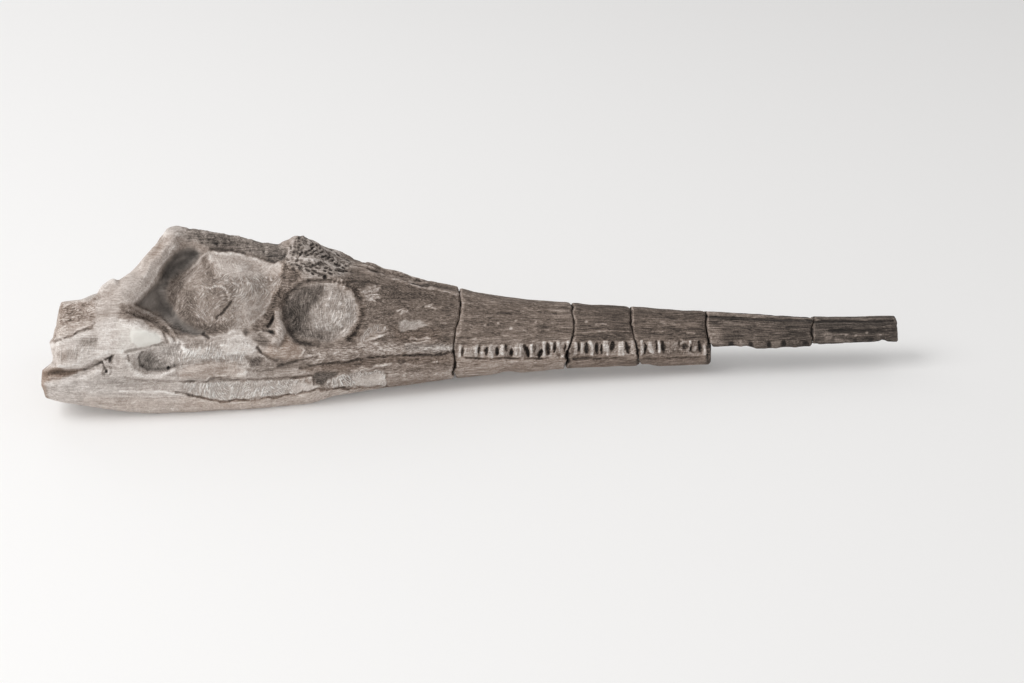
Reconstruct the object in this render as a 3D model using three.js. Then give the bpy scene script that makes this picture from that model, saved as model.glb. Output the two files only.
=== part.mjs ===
// Long-snouted marine crocodile skull fossil, six fitted pieces.
// Millimetres, +X toward the snout tip, +Z up, origin under the middle of the skull on the ground.
import * as THREE from 'three';

// ---- driving dimensions -------------------------------------------------------------------------
const REAR = -4;               // rear end of the lower jaw
const FRONT = 831;             // broken end of the snout tip
const GAP = 0.3;               // clearance between two fitted pieces
const LIP = 2.2;               // width of the crumbled edge beside a break
const LIP_DROP = 1.3;          // how far that edge falls away
const LEAN = THREE.MathUtils.degToRad(24);   // lean of the plane the relief is laid out on
const BREAK_X = [389, 501, 562, 636, 746];   // the five breaks, measured from the rear end
const SKULL_STEP = 7.6;        // spacing of the sections along the skull block
const SOCKET_DEPTH = 4;        // tooth sockets
const SKULL_SPLIT = [2, 1, 2, 3, 1, 2, 3, 4, 5, 2, 1];   // facets between neighbouring section points
const SNOUT_SPLIT = [1, 1, 2, 2, 2, 1, 2, 2, 2, 1, 1];

// Half sections, right side, from the underside to the top of the skull: [out, up].
// Order: underside middle, inner and outer foot, jaw bulge, jaw top, upper jaw edge, cheek,
// side bar, roof middle, roof inner, crest flank, crest.
const JAWS = [
  [REAR, [[0, 24], [54, 19], [74, 20], [87, 31], [89, 43], [87, 48], [82, 53], [74, 58], [64, 62], [52, 63],
    [30, 60], [0, 56]]],
  [7, [[0, 19], [56, 15], [76, 18], [90, 30], [92, 48], [92, 54], [90, 65], [81, 84], [68, 98], [54, 104],
    [30, 88], [0, 74]]],
  [13, [[0, 17], [58, 13], [77, 16], [92, 29], [93, 50], [93, 55], [91, 68], [81, 89], [67, 103], [53, 109],
    [31, 95], [0, 80]]],
  [26, [[0, 16], [59, 10], [77, 13], [92, 28], [93, 51], [93, 57], [91, 71], [81, 92], [69, 105], [55, 111],
    [32, 98], [0, 82]]],
  [40, [[0, 15], [60, 7], [77, 10], [92, 26], [93, 52], [93, 59], [90, 76], [81, 97], [72, 109], [60, 115],
    [34, 103], [0, 86]]],
  [70, [[0, 14], [60, 3], [77, 5], [91, 24], [91, 50], [92, 70], [88, 88], [82, 102], [69, 117], [54, 129],
    [30, 119], [0, 101]]],
  [92, [[0, 14], [58, 0], [75, 1], [90, 22], [89, 46], [88, 57], [87, 80], [84, 99], [66, 113], [45, 129],
    [25, 145], [0, 133]]],
  [106, [[0, 14], [57, 0], [73, 0], [90, 22], [88, 47], [88, 57], [87, 75], [85, 92], [64, 110], [38, 127],
    [9, 157], [0, 155]]],
  [118, [[0, 14], [57, 0], [73, 0], [90, 22], [88, 50], [87, 58], [87, 72], [86, 87], [58, 111], [20, 144],
    [6, 160], [0, 162]]],
  [130, [[0, 14], [57, 0], [73, 0], [89, 22], [87, 51], [86, 58], [87, 70], [84, 84], [55, 113], [10, 149],
    [5, 159], [0, 161]]],
  [160, [[0, 14], [55, 0], [71, 0], [87, 22], [85, 54], [84, 60], [86, 69], [81, 83], [54, 115], [12, 144],
    [4, 154], [0, 155]]],
  [181, [[0, 14], [53, 0], [70, 0], [85, 22], [83, 50], [82, 56], [83, 68], [76, 84], [52, 113], [13, 141],
    [4, 150], [0, 151]]],
  [202, [[0, 14], [50, 0], [68, 0], [82, 22], [80, 44], [79, 50], [79, 64], [72, 84], [49, 110], [18, 134],
    [5, 143], [0, 144]]],
  [218, [[0, 14], [46, 0], [65, 0], [79, 22], [77, 44], [76, 50], [76, 61], [69, 79], [50, 105], [27, 128],
    [8, 139], [0, 140]]],
  [229, [[0, 14], [44, 0], [63, 0], [77, 22], [76, 45], [75, 51], [75, 60], [68, 76], [51, 102], [32, 126],
    [18, 138], [0, 140]]],
  [240, [[0, 14], [42, 0], [62, 0], [76, 22], [74, 47], [74, 52], [73, 59], [67, 73], [52, 99], [36, 122],
    [24, 138], [0, 140]]],
  [258, [[0, 13], [36, 0], [57, 0], [72, 22], [71, 46], [70, 51], [70, 57], [67, 67], [52, 94], [37, 119],
    [26, 131], [0, 134]]],
  [281, [[0, 11], [28, 0], [50, 0], [67, 21], [66, 45], [66, 50], [65, 57], [63, 66], [50, 90], [37, 113],
    [25, 119], [0, 120]]],
  [300, [[0, 8], [22, 0], [44, 0], [62, 20], [62, 44], [62, 49], [61, 57], [58, 67], [46, 87], [33, 104],
    [17, 114], [0, 114]]],
  [318, [[0, 4], [18, 0], [38, 0], [58, 19], [58, 43], [58, 49], [57, 58], [52, 69], [40, 86], [26, 101],
    [12, 109], [0, 108]]],
  [352, [[0, 0], [14, 0], [30, 0], [50, 17], [52, 41], [52, 48], [50, 57], [43, 68], [33, 80], [21, 91],
    [8, 99], [0, 98]]],
  [389, [[0, 0], [12, 0], [23, 1], [43, 16], [46, 38], [46, 46], [43, 56], [36, 66], [27, 75], [16, 84],
    [7, 88], [0, 88]]],
  [444, [[0, 3], [11, 3], [21, 4], [37, 17], [40, 36], [41, 44], [38, 52], [32, 60], [24, 67], [15, 74],
    [7, 78], [0, 78]]],
  [501, [[0, 6], [10, 6], [19, 7], [32, 18], [35, 34], [36, 41], [33, 48], [28, 55], [21, 62], [13, 68],
    [6, 71], [0, 71]]],
  [562, [[0, 6], [9, 6], [16, 7], [27, 17], [30, 31], [31, 38], [28, 45], [24, 52], [18, 58], [11, 63],
    [5, 66], [0, 66]]],
  [636, [[0, 6], [8, 6], [14, 7], [22, 15], [25, 28], [26, 36], [24, 42], [20, 48], [15, 53], [9, 57],
    [4, 59], [0, 60]]],
];
const UPPER_ONLY = [
  [636, [[0, 24], [8, 24], [14, 23], [20, 25], [24, 29], [26, 35], [24, 42], [20, 48], [15, 53], [9, 57],
    [4, 59], [0, 60]]],
  [691, [[0, 25], [7, 24], [13, 23], [18, 25], [21, 28], [23, 33], [22, 39], [18, 45], [14, 49], [8, 53],
    [4, 54], [0, 55]]],
  [746, [[0, 25], [6, 24], [11, 23], [16, 25], [19, 29], [20, 34], [19, 39], [16, 43], [12, 46], [8, 49],
    [4, 50], [0, 51]]],
  [805, [[0, 25], [5, 24], [10, 24], [15, 26], [17, 30], [18, 35], [17, 40], [15, 43], [11, 46], [7, 48],
    [4, 50], [0, 51]]],
  [FRONT, [[0, 26], [5, 25], [9, 25], [14, 27], [16, 31], [17, 36], [16, 40], [14, 43], [11, 46], [7, 48],
    [4, 50], [0, 50]]],
];

// The left rear corner is broken away: height of the break over the middle line, falling to the left.
const BROKEN_CORNER = [[-4, 68], [8, 81], [30, 88], [50, 102], [70, 115], [92, 143], [106, 160], [124, 200]];
const BREAK_FALL = 0.35;
const BREAK_FLOOR = 49;        // the break stops at the top of the lower jaw

// How each break wanders: [lean along the skull per mm of height, bow].
const BREAK_SHAPE = [[0.08, 0], [0.05, -5], [-0.04, 4], [-0.03, 0], [0.01, 2]];

// ---- relief, laid out on the leaning plane: u along the skull, v up the plane ------------------------
// Openings filled with rock: outline, width of the sloping wall, depth.
const TEMPORAL_OPENING = [[73, 61], [92, 60], [119, 44], [146, 44], [180, 50], [201, 53], [211, 67], [215, 81],
  [224, 106], [205, 117], [181, 124], [150, 124], [125, 136], [111, 121], [103, 99], [91, 82], [83, 75]];
const JAW_WINDOW = [[126, -2], [181, -2], [218, 0], [249, 2], [255, -10], [236, -13], [198, -17], [161, -18],
  [126, -14]];
const JAW_WINDOW_FRONT = [[256, 7], [320, 5], [319, -8], [257, -9]];
const EYE_SOCKET = oval(259, 62, 37, 30, 16);
const OPENINGS = [[TEMPORAL_OPENING, 7, 7], [EYE_SOCKET, 9, 13], [JAW_WINDOW, 4, 3], [JAW_WINDOW_FRONT, 4, 3]];

// Rounded hollows (depth above zero) and swellings (below zero): u, v, half length, half width, turn, depth.
const SPOTS = [
  [124, 108, 25, 12, 32, 15],    // dark corner under the crest
  [107, 77, 29, 15, 51, 15],     // dark corner behind the rock fill
  [180, 83, 42, 33, 0, -10],     // rock fill of the temporal opening
  [280, 62, 19, 24, 0, -6],      // rock fill of the eye socket
  [238, 58, 15, 22, 0, 4],       // dark rear of the eye socket
  [99, 20, 20, 8, 0, 9],         // pit behind the cheek
  [219, 28, 25, 7, 0, -4],       // foot of the bar behind the eye
  [217, 47, 6, 14, 10, -3],
  [92, 47, 24, 9, -31, -3],      // plaster fill
  [60, 22, 9, 9, 0, -4],         // knob of the jaw joint
  [136, 26, 26, 9, 10, -3],
];

// Grooves (depth above zero) and ridges (below zero): course, half width, depth.
const COURSES = [
  [[[-4, 10], [16, 11], [34, 12], [54, 20], [65, 27]], 6, 7],                 // jaw joint gap
  [[[149, 118], [152, 107], [154, 101]], 6, 3],
  [[[216, 79], [212, 61], [210, 52], [205, 45]], 5, 5],                       // crack behind the eye
  [[[192, 4], [214, 11], [237, 16], [279, 15], [313, 18], [387, 20]], 4, 3],  // meeting of the jaws
  [[[-2, 43], [27, 48], [46, 54]], 4, 3],                                     // step between rear plates
  [[[66, 13], [88, 7], [126, 13], [163, 12], [190, 4]], 5, -3],               // ledge on the lower jaw
  [[[117, 139], [102, 116], [90, 97], [73, 82], [55, 73]], 11, -3],           // bar behind the opening
  [[[229, 88], [243, 96], [259, 98], [277, 94], [291, 82]], 6, -3],           // brow
  [[[226, 108], [222, 90], [218, 70], [213, 50], [212, 34]], 8, -5],          // bar behind the eye
  [[[128, 138], [160, 128], [190, 123], [206, 117]], 5, 3],                   // foot of the crest
  [[[281, 103], [314, 98], [334, 93], [353, 87], [372, 82], [390, 78]], 4, -2],
  [[[391, 33], [444, 36], [501, 38], [562, 38], [636, 37]], 5, 1],
];

// Tooth sockets along the jaw edge, and the scallops of the upper jaw in front of them.
const SOCKETS = [392, 411, 427, 438, 455, 468, 479, 493, 509, 525, 540, 555, 571, 586, 611, 629];
const SCALLOPS = [660, 681, 699, 714];
const SOCKET_LEVEL = 19.5;

// ---- curves ---------------------------------------------------------------------------------------
function cubic(a, b, c, d, t) {
  return b + 0.5 * t * (c - a + t * (2 * a - 5 * b + 4 * c - d + t * (3 * (b - c) + d - a)));
}

function along(table, x, pick) {
  const last = table.length - 1;
  let i = 0;
  while (i < last - 1 && x > table[i + 1][0]) i += 1;
  const row = (k) => pick(table[Math.min(Math.max(k, 0), last)]);
  const t = (x - table[i][0]) / (table[i + 1][0] - table[i][0]);
  return cubic(row(i - 1), row(i), row(i + 1), row(i + 2), THREE.MathUtils.clamp(t, 0, 1));
}

function halfSection(table, split, x) {
  const spots = table[0][1].map((_, k) => [0, 1].map((c) => along(table, x, (row) => row[1][k][c])));
  const get = (k, c) => {
    const j = k < 0 ? -k : k > 11 ? 22 - k : k;
    return c === 0 && j !== k ? -spots[j][0] : spots[j][c];
  };
  const half = [];
  split.forEach((count, k) => {
    for (let j = 0; j < count; j += 1) {
      half.push([0, 1].map((c) => cubic(get(k - 1, c), get(k, c), get(k + 1, c), get(k + 2, c), j / count)));
    }
  });
  half.push(spots[11]);
  return half;
}

function outline(split, table, x) {
  const half = halfSection(table, split, x);
  const right = half.map(([out, up]) => new THREE.Vector3(x, -out, up));
  const left = half.slice(1, -1).reverse().map(([out, up]) => new THREE.Vector3(x, out, up));
  return right.concat(left);
}

function oval(u, v, ru, rv, count) {
  return Array.from({ length: count }, (_, k) => {
    const a = (2 * Math.PI * k) / count;
    return [u + ru * Math.cos(a), v + rv * Math.sin(a)];
  });
}

// ---- relief ---------------------------------------------------------------------------------------
function wobble(x, y, z) {
  return (Math.sin(x * 0.21 + y * 0.13) + Math.sin(y * 0.19 - z * 0.23 + 1.7)
    + Math.sin(z * 0.17 + x * 0.11 + 4.1) + Math.sin(x * 0.47 + z * 0.39)) / 4;
}

function toSegment(u, v, a, b) {
  const du = b[0] - a[0];
  const dv = b[1] - a[1];
  const t = THREE.MathUtils.clamp(((u - a[0]) * du + (v - a[1]) * dv) / (du * du + dv * dv), 0, 1);
  return Math.hypot(u - a[0] - t * du, v - a[1] - t * dv);
}

function isInside(u, v, shape) {
  let inside = false;
  shape.forEach((a, k) => {
    const b = shape[(k + 1) % shape.length];
    if ((a[1] > v) !== (b[1] > v) && u < a[0] + ((v - a[1]) * (b[0] - a[0])) / (b[1] - a[1])) inside = !inside;
  });
  return inside;
}

function openingDepth(u, v, [shape, wall, depth]) {
  if (!isInside(u, v, shape)) return 0;
  const edge = Math.min(...shape.map((a, k) => toSegment(u, v, a, shape[(k + 1) % shape.length])));
  return depth * THREE.MathUtils.smoothstep(edge, 0, wall);
}

function spotDepth(u, v, [cu, cv, ru, rv, turn, depth]) {
  const a = THREE.MathUtils.degToRad(turn);
  const du = ((u - cu) * Math.cos(a) + (v - cv) * Math.sin(a)) / ru;
  const dv = ((v - cv) * Math.cos(a) - (u - cu) * Math.sin(a)) / rv;
  return depth * (1 - THREE.MathUtils.smoothstep(Math.hypot(du, dv), 0.25, 1.1));
}

function courseDepth(u, v, [course, width, depth]) {
  const away = Math.min(...course.slice(1).map((b, k) => toSegment(u, v, course[k], b)));
  return depth * (1 - THREE.MathUtils.smoothstep(away, 0, width));
}

function socketDepth(u, v) {
  const pits = SOCKETS.map((at) => spotDepth(u, v, [at, SOCKET_LEVEL, 5, 9, 0, SOCKET_DEPTH]));
  const dips = SCALLOPS.map((at) => spotDepth(u, v, [at, SOCKET_LEVEL - 2, 7, 7, 0, SOCKET_DEPTH / 3]));
  return Math.max(...pits, ...dips);
}

function reliefDepth(u, v) {
  const add = (list, depth) => list.reduce((sum, item) => sum + depth(u, v, item), 0);
  return add(OPENINGS, openingDepth) + add(SPOTS, spotDepth) + add(COURSES, courseDepth) + socketDepth(u, v);
}

function brokenHeight(x) {
  const last = BROKEN_CORNER.length - 1;
  if (x >= BROKEN_CORNER[last][0]) return Infinity;
  const k = BROKEN_CORNER.findIndex(([at]) => at > x);
  if (k < 1) return BROKEN_CORNER[0][1];
  const [a, b] = [BROKEN_CORNER[k - 1], BROKEN_CORNER[k]];
  return a[1] + ((b[1] - a[1]) * (x - a[0])) / (b[0] - a[0]);
}

function sculpt(ring, drop) {
  return ring.map((spot, k) => {
    const before = ring[(k + ring.length - 1) % ring.length];
    const after = ring[(k + 1) % ring.length];
    const normal = new THREE.Vector3(0, before.z - after.z, after.y - before.y).normalize();
    const side = spot.y > 0 ? 1 : -1;
    const v = spot.z * Math.cos(LEAN) - Math.abs(spot.y) * Math.sin(LEAN);
    const facing = normal.y * side * Math.cos(LEAN) + normal.z * Math.sin(LEAN);
    const exposed = THREE.MathUtils.smoothstep(facing, -0.1, 0.3);
    const depth = (reliefDepth(spot.x, v) - 0.7 * wobble(spot.x, spot.y, spot.z)) * exposed + drop(k);
    const moved = spot.clone().addScaledVector(normal, -depth);
    if (moved.y > -0.01) {
      const top = brokenHeight(moved.x) - moved.y * BREAK_FALL + 2 * wobble(moved.x * 2, moved.y * 2, 0);
      const limit = Math.max(top, BREAK_FLOOR);
      if (moved.z > limit) moved.z = limit + (moved.z - limit) * 0.08;
    }
    moved.z = Math.max(moved.z, 0);
    return moved;
  });
}

// ---- breaks ---------------------------------------------------------------------------------------
function breakShift(x, z) {
  return BREAK_SHAPE.reduce((sum, [lean, bow], k) => {
    const near = 1 - THREE.MathUtils.smoothstep(Math.abs(x - BREAK_X[k]), 4, 26);
    const up = (z - 45) / 45;
    return sum + near * (lean * (z - 45) + bow * (up * up - 0.25) + bow * 0.6 * up);
  }, 0);
}

function chipped(k) {
  return LIP_DROP * (0.7 + 0.6 * Math.abs(Math.sin(k * 2.3)));
}

// ---- solids ---------------------------------------------------------------------------------------
function innerRing(ring, bulge) {
  const middle = ring.reduce((sum, p) => sum.add(p), new THREE.Vector3()).divideScalar(ring.length);
  return ring.map((p, k) => {
    const spot = middle.clone().lerp(p, 0.62 + 0.06 * Math.sin(k * 1.9));
    spot.x = p.x + bulge * (1 + 0.4 * Math.sin(k * 1.3 + 2));
    return spot;
  });
}

function closedSolid(rings, startBulge, endBulge) {
  const count = rings[0].length;
  const spots = rings.flat();
  const faces = [];
  for (let r = 0; r + 1 < rings.length; r += 1) {
    for (let k = 0; k < count; k += 1) {
      const [a, b] = [r * count + k, r * count + ((k + 1) % count)];
      faces.push(a, b + count, b, a, a + count, b + count);
    }
  }
  const middle = (ring, bulge) => ring.reduce((sum, p) => sum.add(p), new THREE.Vector3())
    .divideScalar(count).add(new THREE.Vector3(bulge, 0, 0));
  spots.push(middle(rings[0], startBulge), middle(rings[rings.length - 1], endBulge));
  const base = (rings.length - 1) * count;
  for (let k = 0; k < count; k += 1) {
    const next = (k + 1) % count;
    faces.push(k, next, spots.length - 2, base + next, base + k, spots.length - 1);
  }
  const geometry = new THREE.BufferGeometry().setFromPoints(spots);
  geometry.setIndex(faces);
  return geometry;
}

function piece(name, colour, { table, split, from, to, inner, startBulge = 0, endBulge = 0 }) {
  const stations = [from, from + LIP, ...inner, to - LIP, to];
  const rings = stations.map((x, r) => {
    const isEnd = r === 0 || r === stations.length - 1;
    const ring = sculpt(outline(split, table, x), (k) => (isEnd ? chipped(k) : 0));
    ring.forEach((p) => { p.x += breakShift(x, p.z); });
    return ring;
  });
  if (startBulge) rings.unshift(innerRing(rings[0], startBulge));
  if (endBulge) rings.push(innerRing(rings[rings.length - 1], endBulge));
  const material = new THREE.MeshStandardMaterial({ color: colour, roughness: 0.9, metalness: 0 });
  const mesh = new THREE.Mesh(closedSolid(rings, startBulge, endBulge), material);
  mesh.name = name;
  return mesh;
}

function evenStations(from, to, step) {
  const count = Math.max(1, Math.round((to - from) / step));
  return Array.from({ length: count - 1 }, (_, k) => from + ((k + 1) * (to - from)) / count);
}

function socketStations(from, to) {
  const spots = SOCKETS.flatMap((at, k) => [at, (at + (SOCKETS[k + 1] ?? at + 14)) / 2]);
  return spots.filter((x) => x > from + LIP + 1.5 && x < to - LIP - 1.5);
}

function skull() {
  const [first, second, third, fourth, fifth] = BREAK_X;
  const half = GAP / 2;
  const jaws = (from, to) => ({
    table: JAWS, split: SNOUT_SPLIT, from: from + half, to: to - half, inner: socketStations(from, to),
  });
  const upper = (from, to, step) => ({
    table: UPPER_ONLY, split: SNOUT_SPLIT, from: from + half, to, inner: evenStations(from, to, step),
  });
  const group = new THREE.Group();
  group.add(
    piece('skull_block', 0x8d857a, {
      table: JAWS, split: SKULL_SPLIT, from: REAR, to: first - half,
      inner: evenStations(REAR + LIP, first - LIP, SKULL_STEP), startBulge: 6,
    }),
    piece('rostrum_rear', 0x6f665c, jaws(first, second)),
    piece('rostrum_middle', 0x6f665c, jaws(second, third)),
    piece('rostrum_front', 0x6c6359, jaws(third, fourth)),
    piece('snout_front', 0x665d54, upper(fourth, fifth - half, 13)),
    piece('snout_tip', 0x5c544c, { ...upper(fifth, FRONT, 14), endBulge: -2 }),
  );
  return group;
}

function onOrigin(group) {
  const box = new THREE.Box3().setFromObject(group);
  const shift = new THREE.Vector3(-(box.min.x + box.max.x) / 2, -(box.min.y + box.max.y) / 2, -box.min.z);
  group.children.forEach((mesh) => mesh.geometry.translate(shift.x, shift.y, shift.z));
  return group;
}

export default onOrigin(skull());
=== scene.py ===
"""Fossil skull of a long-snouted marine crocodile: carved, coloured and set on a pale studio floor.

Each of the six fitted pieces starts as a copy of its solid, is refined, carved with hollows, ridges,
cracks and tooth sockets, and given a finish of fossil bone, rock fill and plaster.
"""

import logging
import math
from collections.abc import Iterator
from contextlib import contextmanager
from dataclasses import dataclass, field
from enum import Enum
from functools import partial
from typing import ClassVar

import bpy
import numpy as np
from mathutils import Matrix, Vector


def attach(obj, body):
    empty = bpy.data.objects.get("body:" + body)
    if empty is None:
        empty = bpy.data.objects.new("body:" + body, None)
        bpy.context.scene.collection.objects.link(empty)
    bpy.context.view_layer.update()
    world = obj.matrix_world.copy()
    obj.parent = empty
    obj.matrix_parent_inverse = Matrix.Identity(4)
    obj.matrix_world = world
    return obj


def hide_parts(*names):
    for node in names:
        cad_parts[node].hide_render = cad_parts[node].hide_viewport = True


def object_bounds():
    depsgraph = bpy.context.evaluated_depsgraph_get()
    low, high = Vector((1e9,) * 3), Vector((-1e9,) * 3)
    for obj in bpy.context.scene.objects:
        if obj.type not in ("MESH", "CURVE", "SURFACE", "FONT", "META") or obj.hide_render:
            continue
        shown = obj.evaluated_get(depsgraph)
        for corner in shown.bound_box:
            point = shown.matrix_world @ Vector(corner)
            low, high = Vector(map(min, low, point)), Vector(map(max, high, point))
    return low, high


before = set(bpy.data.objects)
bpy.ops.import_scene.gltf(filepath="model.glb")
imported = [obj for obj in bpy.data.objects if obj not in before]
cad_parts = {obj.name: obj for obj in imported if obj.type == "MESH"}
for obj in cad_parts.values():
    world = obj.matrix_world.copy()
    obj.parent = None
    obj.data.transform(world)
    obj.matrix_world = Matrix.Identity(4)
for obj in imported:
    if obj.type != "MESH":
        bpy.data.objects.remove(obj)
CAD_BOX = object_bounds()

LOG = logging.getLogger("crocodile_skull")
MM = 0.001  # one millimetre in metres, the unit of the scene
FRAME_WIDTH, FRAME_HEIGHT = 1024, 683  # the frame that strokes are laid in
REACH = 40.0  # strokes are measured only this near to their courses
FAR_AWAY = 1e3  # stands for any distance beyond REACH
TINY = 1e-9
RING_CORNERS = 16
HASH_AXES, HASH_SEED, HASH_MIX = (73856093, 19349663, 83492791), 2654435761, 1274126177
HASH_WORD, HASH_SHORT = 0xFFFFFFFF, 0xFFFF

Numbers = tuple[float, ...]
Course = Numbers  # corners of a line or outline, as numbers that alternate across and down


class Coat(Enum):
    """What a painted patch changes on the surface."""

    TONE = "tone"
    ROCK = "rock"
    HATCH = "hatch"
    WARM = "warm"
    PITTED = "pitted"
    PLASTER = "plaster"
    GRAIN = "grain"
    UPRIGHT = "upright"


TONE, ROCK, HATCH, WARM, PITTED, PLASTER, GRAIN, UPRIGHT = Coat


# ---- small helpers ----


def smoothstep(value: np.ndarray, low: float, high: float) -> np.ndarray:
    """Eases from 0 at low to 1 at high.

    Args:
        value: Numbers to ease.
        low: Where the result starts to rise.
        high: Where the result reaches 1.

    Returns:
        The eased numbers.
    """
    t = np.clip((value - low) / (high - low), 0.0, 1.0)
    return t * t * (3.0 - 2.0 * t)


def linear(hex_colour: str) -> tuple[float, float, float, float]:
    """Turns an sRGB hex colour into linear RGBA.

    Args:
        hex_colour: Colour such as "#8a7f74".

    Returns:
        Linear red, green, blue and an alpha of 1.
    """
    parts = [int(hex_colour[i : i + 2], 16) / 255 for i in (1, 3, 5)]
    return tuple(c / 12.92 if c <= 0.04045 else ((c + 0.055) / 1.055) ** 2.4 for c in parts) + (1.0,)


def lattice_noise(points: np.ndarray, seed: int) -> np.ndarray:
    """Smooth random values between -1 and 1.

    Args:
        points: Positions, N by 3, one lattice cell per unit.
        seed: Picks one of many patterns.

    Returns:
        One value for each point.
    """
    cell = np.floor(points).astype(np.int64)
    part = points - cell
    ease = part * part * (3 - 2 * part)
    total = np.zeros(len(points))
    for corner in range(8):
        offset = np.array([corner & 1, corner >> 1 & 1, corner >> 2 & 1])
        key = (cell + offset) @ np.array(HASH_AXES) + seed * HASH_SEED
        key = (key ^ (key >> 13)) * HASH_MIX & HASH_WORD
        value = ((key ^ (key >> 16)) & HASH_SHORT) / (HASH_SHORT / 2) - 1.0
        total += value * np.prod(np.where(offset, ease, 1 - ease), axis=1)
    return total


@dataclass(frozen=True)
class Noise:
    """Ever finer layers of lattice noise, whose largest lumps have the given size in millimetres."""

    size: float
    layers: int
    seed: int
    middle: float = 0.0
    amount: float = 1.0

    def at(self, points: np.ndarray, step: int = 0) -> np.ndarray:
        """Works out the noise.

        Args:
            points: Positions in millimetres, N by 3.
            step: Picks another pattern of the same kind.

        Returns:
            One value for each point, which varies about the middle by roughly the amount.
        """
        seed = self.seed + step
        layers = (lattice_noise(points * 2**k / self.size, seed + k) / 2**k for k in range(self.layers))
        return self.middle + self.amount * (sum(layers) / 1.5)


def pairs(course: Course) -> list[tuple[float, float]]:
    """The corners of a course, each as its place across and down."""
    return list(zip(course[::2], course[1::2]))


def close_to(u: np.ndarray, v: np.ndarray, course: Course) -> np.ndarray:
    """Tells which points lie within REACH of the box around a course."""
    (left, right), (top, bottom) = ((min(c), max(c)) for c in (course[::2], course[1::2]))
    return (u > left - REACH) & (u < right + REACH) & (v > top - REACH) & (v < bottom + REACH)


def distance_to_course(u: np.ndarray, v: np.ndarray, course: Course) -> np.ndarray:
    """Distance from each point to a line of straight stretches.

    Args:
        u: First coordinates.
        v: Second coordinates.
        course: Corners of the line.

    Returns:
        The distances, or a large number far away.
    """
    near, corners = close_to(u, v, course), pairs(course)
    un, vn = u[near], v[near]
    best = np.full(len(un), FAR_AWAY)
    for (au, av), (bu, bv) in zip(corners, corners[1:]):
        du, dv = bu - au, bv - av
        t = np.clip(((un - au) * du + (vn - av) * dv) / (du * du + dv * dv + TINY), 0, 1)
        best = np.minimum(best, np.hypot(un - au - t * du, vn - av - t * dv))
    away = np.full(len(u), FAR_AWAY)
    away[near] = best
    return away


def depth_inside(u: np.ndarray, v: np.ndarray, outline: Course) -> np.ndarray:
    """Distance in from the edge of an outline, below zero outside it.

    Args:
        u: First coordinates.
        v: Second coordinates.
        outline: Corners of the closed outline.

    Returns:
        The signed distances.
    """
    near, corners = close_to(u, v, outline), pairs(outline)
    un, vn = u[near], v[near]
    within = np.zeros(len(un), bool)
    for (au, av), (bu, bv) in zip(corners, corners[1:] + corners[:1]):
        if av != bv:
            within ^= ((av > vn) != (bv > vn)) & (un < au + (vn - av) * (bu - au) / (bv - av))
    inside = np.zeros(len(u), bool)
    inside[near] = within
    away = distance_to_course(u, v, outline + outline[:2])
    return np.where(inside, away, -away)


def ring(u: float, v: float, ru: float, rv: float, turn: float = 0.0) -> Course:
    """Corners of an oval.

    Args:
        u: Its centre, across.
        v: Its centre, down.
        ru: Half its length.
        rv: Half its width.
        turn: Clockwise turn in degrees, as seen.

    Returns:
        Its corners, in order.
    """
    c, s = math.cos(math.radians(turn)), math.sin(math.radians(turn))
    angles = [2 * math.pi * k / RING_CORNERS for k in range(RING_CORNERS)]
    spots = [(ru * math.cos(angle), rv * math.sin(angle)) for angle in angles]
    return tuple(place for a, b in spots for place in (u + a * c - b * s, v + a * s + b * c))


# ---- the view that carving and painting are laid out in ----


@dataclass(frozen=True)
class Easel:
    """The place that the skull is drawn from: the camera's place, and the frame that strokes are laid in.

    Strokes are given in a frame 1024 wide and 683 high, in which one unit is about one millimetre on
    the skull. They are laid on the near side, and mirrored to the far one.
    """

    azimuth: float = -3.5
    elevation: float = 24.0
    distance: float = 1.707
    target: tuple[float, float, float] = (0.030, 0.0, 0.0336)
    lens: float = 60.0
    sensor: float = 36.0

    def axes(self) -> tuple[np.ndarray, np.ndarray, np.ndarray, np.ndarray]:
        """Works out where the eye is and how it is turned.

        Returns:
            The eye, and its unit vectors to the right, up and back, away from the skull.
        """
        a, e = math.radians(self.azimuth), math.radians(self.elevation)
        back = np.array([math.sin(a) * math.cos(e), -math.cos(a) * math.cos(e), math.sin(e)])
        right = np.array([math.cos(a), math.sin(a), 0.0])
        return np.array(self.target) + back * self.distance, right, np.cross(back, right), back

    def project(self, points: np.ndarray) -> tuple[np.ndarray, np.ndarray]:
        """Lays points into the frame.

        Args:
            points: Positions in metres, N by 3.

        Returns:
            Their places across and down the frame.
        """
        eye, right, up, back = self.axes()
        away = points - eye
        scale = FRAME_WIDTH * self.lens / self.sensor / -(away @ back)
        return FRAME_WIDTH / 2 + away @ right * scale, FRAME_HEIGHT / 2 - away @ up * scale

    def make_camera(self) -> bpy.types.Object:
        """Creates the camera at the eye.

        Returns:
            The camera object.
        """
        eye, _, _, back = self.axes()
        camera = bpy.data.cameras.new("camera")
        camera.lens, camera.sensor_width = self.lens, self.sensor
        holder = bpy.data.objects.new("camera", camera)
        bpy.context.scene.collection.objects.link(holder)
        holder.location = eye
        holder.rotation_euler = Vector(back).to_track_quat("Z", "Y").to_euler()
        bpy.context.scene.camera = holder
        return holder


# ---- strokes ----


SPOT_CORE = 0.1  # share of a spot that is at full depth
WALL_FOOT = 0.25  # share of a basin's wall that lies outside its outline
LINE_CORE = 0.25  # share of a painted line that has its full strength


@dataclass(frozen=True)
class Furrow:
    """A groove along a course, or a ridge where its depth is below zero."""

    course: Course
    width: float
    depth: float

    def depth_at(self, u: np.ndarray, v: np.ndarray) -> np.ndarray:
        """Depth in millimetres at each place in the frame."""
        return self.depth * (1 - smoothstep(distance_to_course(u, v, self.course), 0, self.width))


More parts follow.
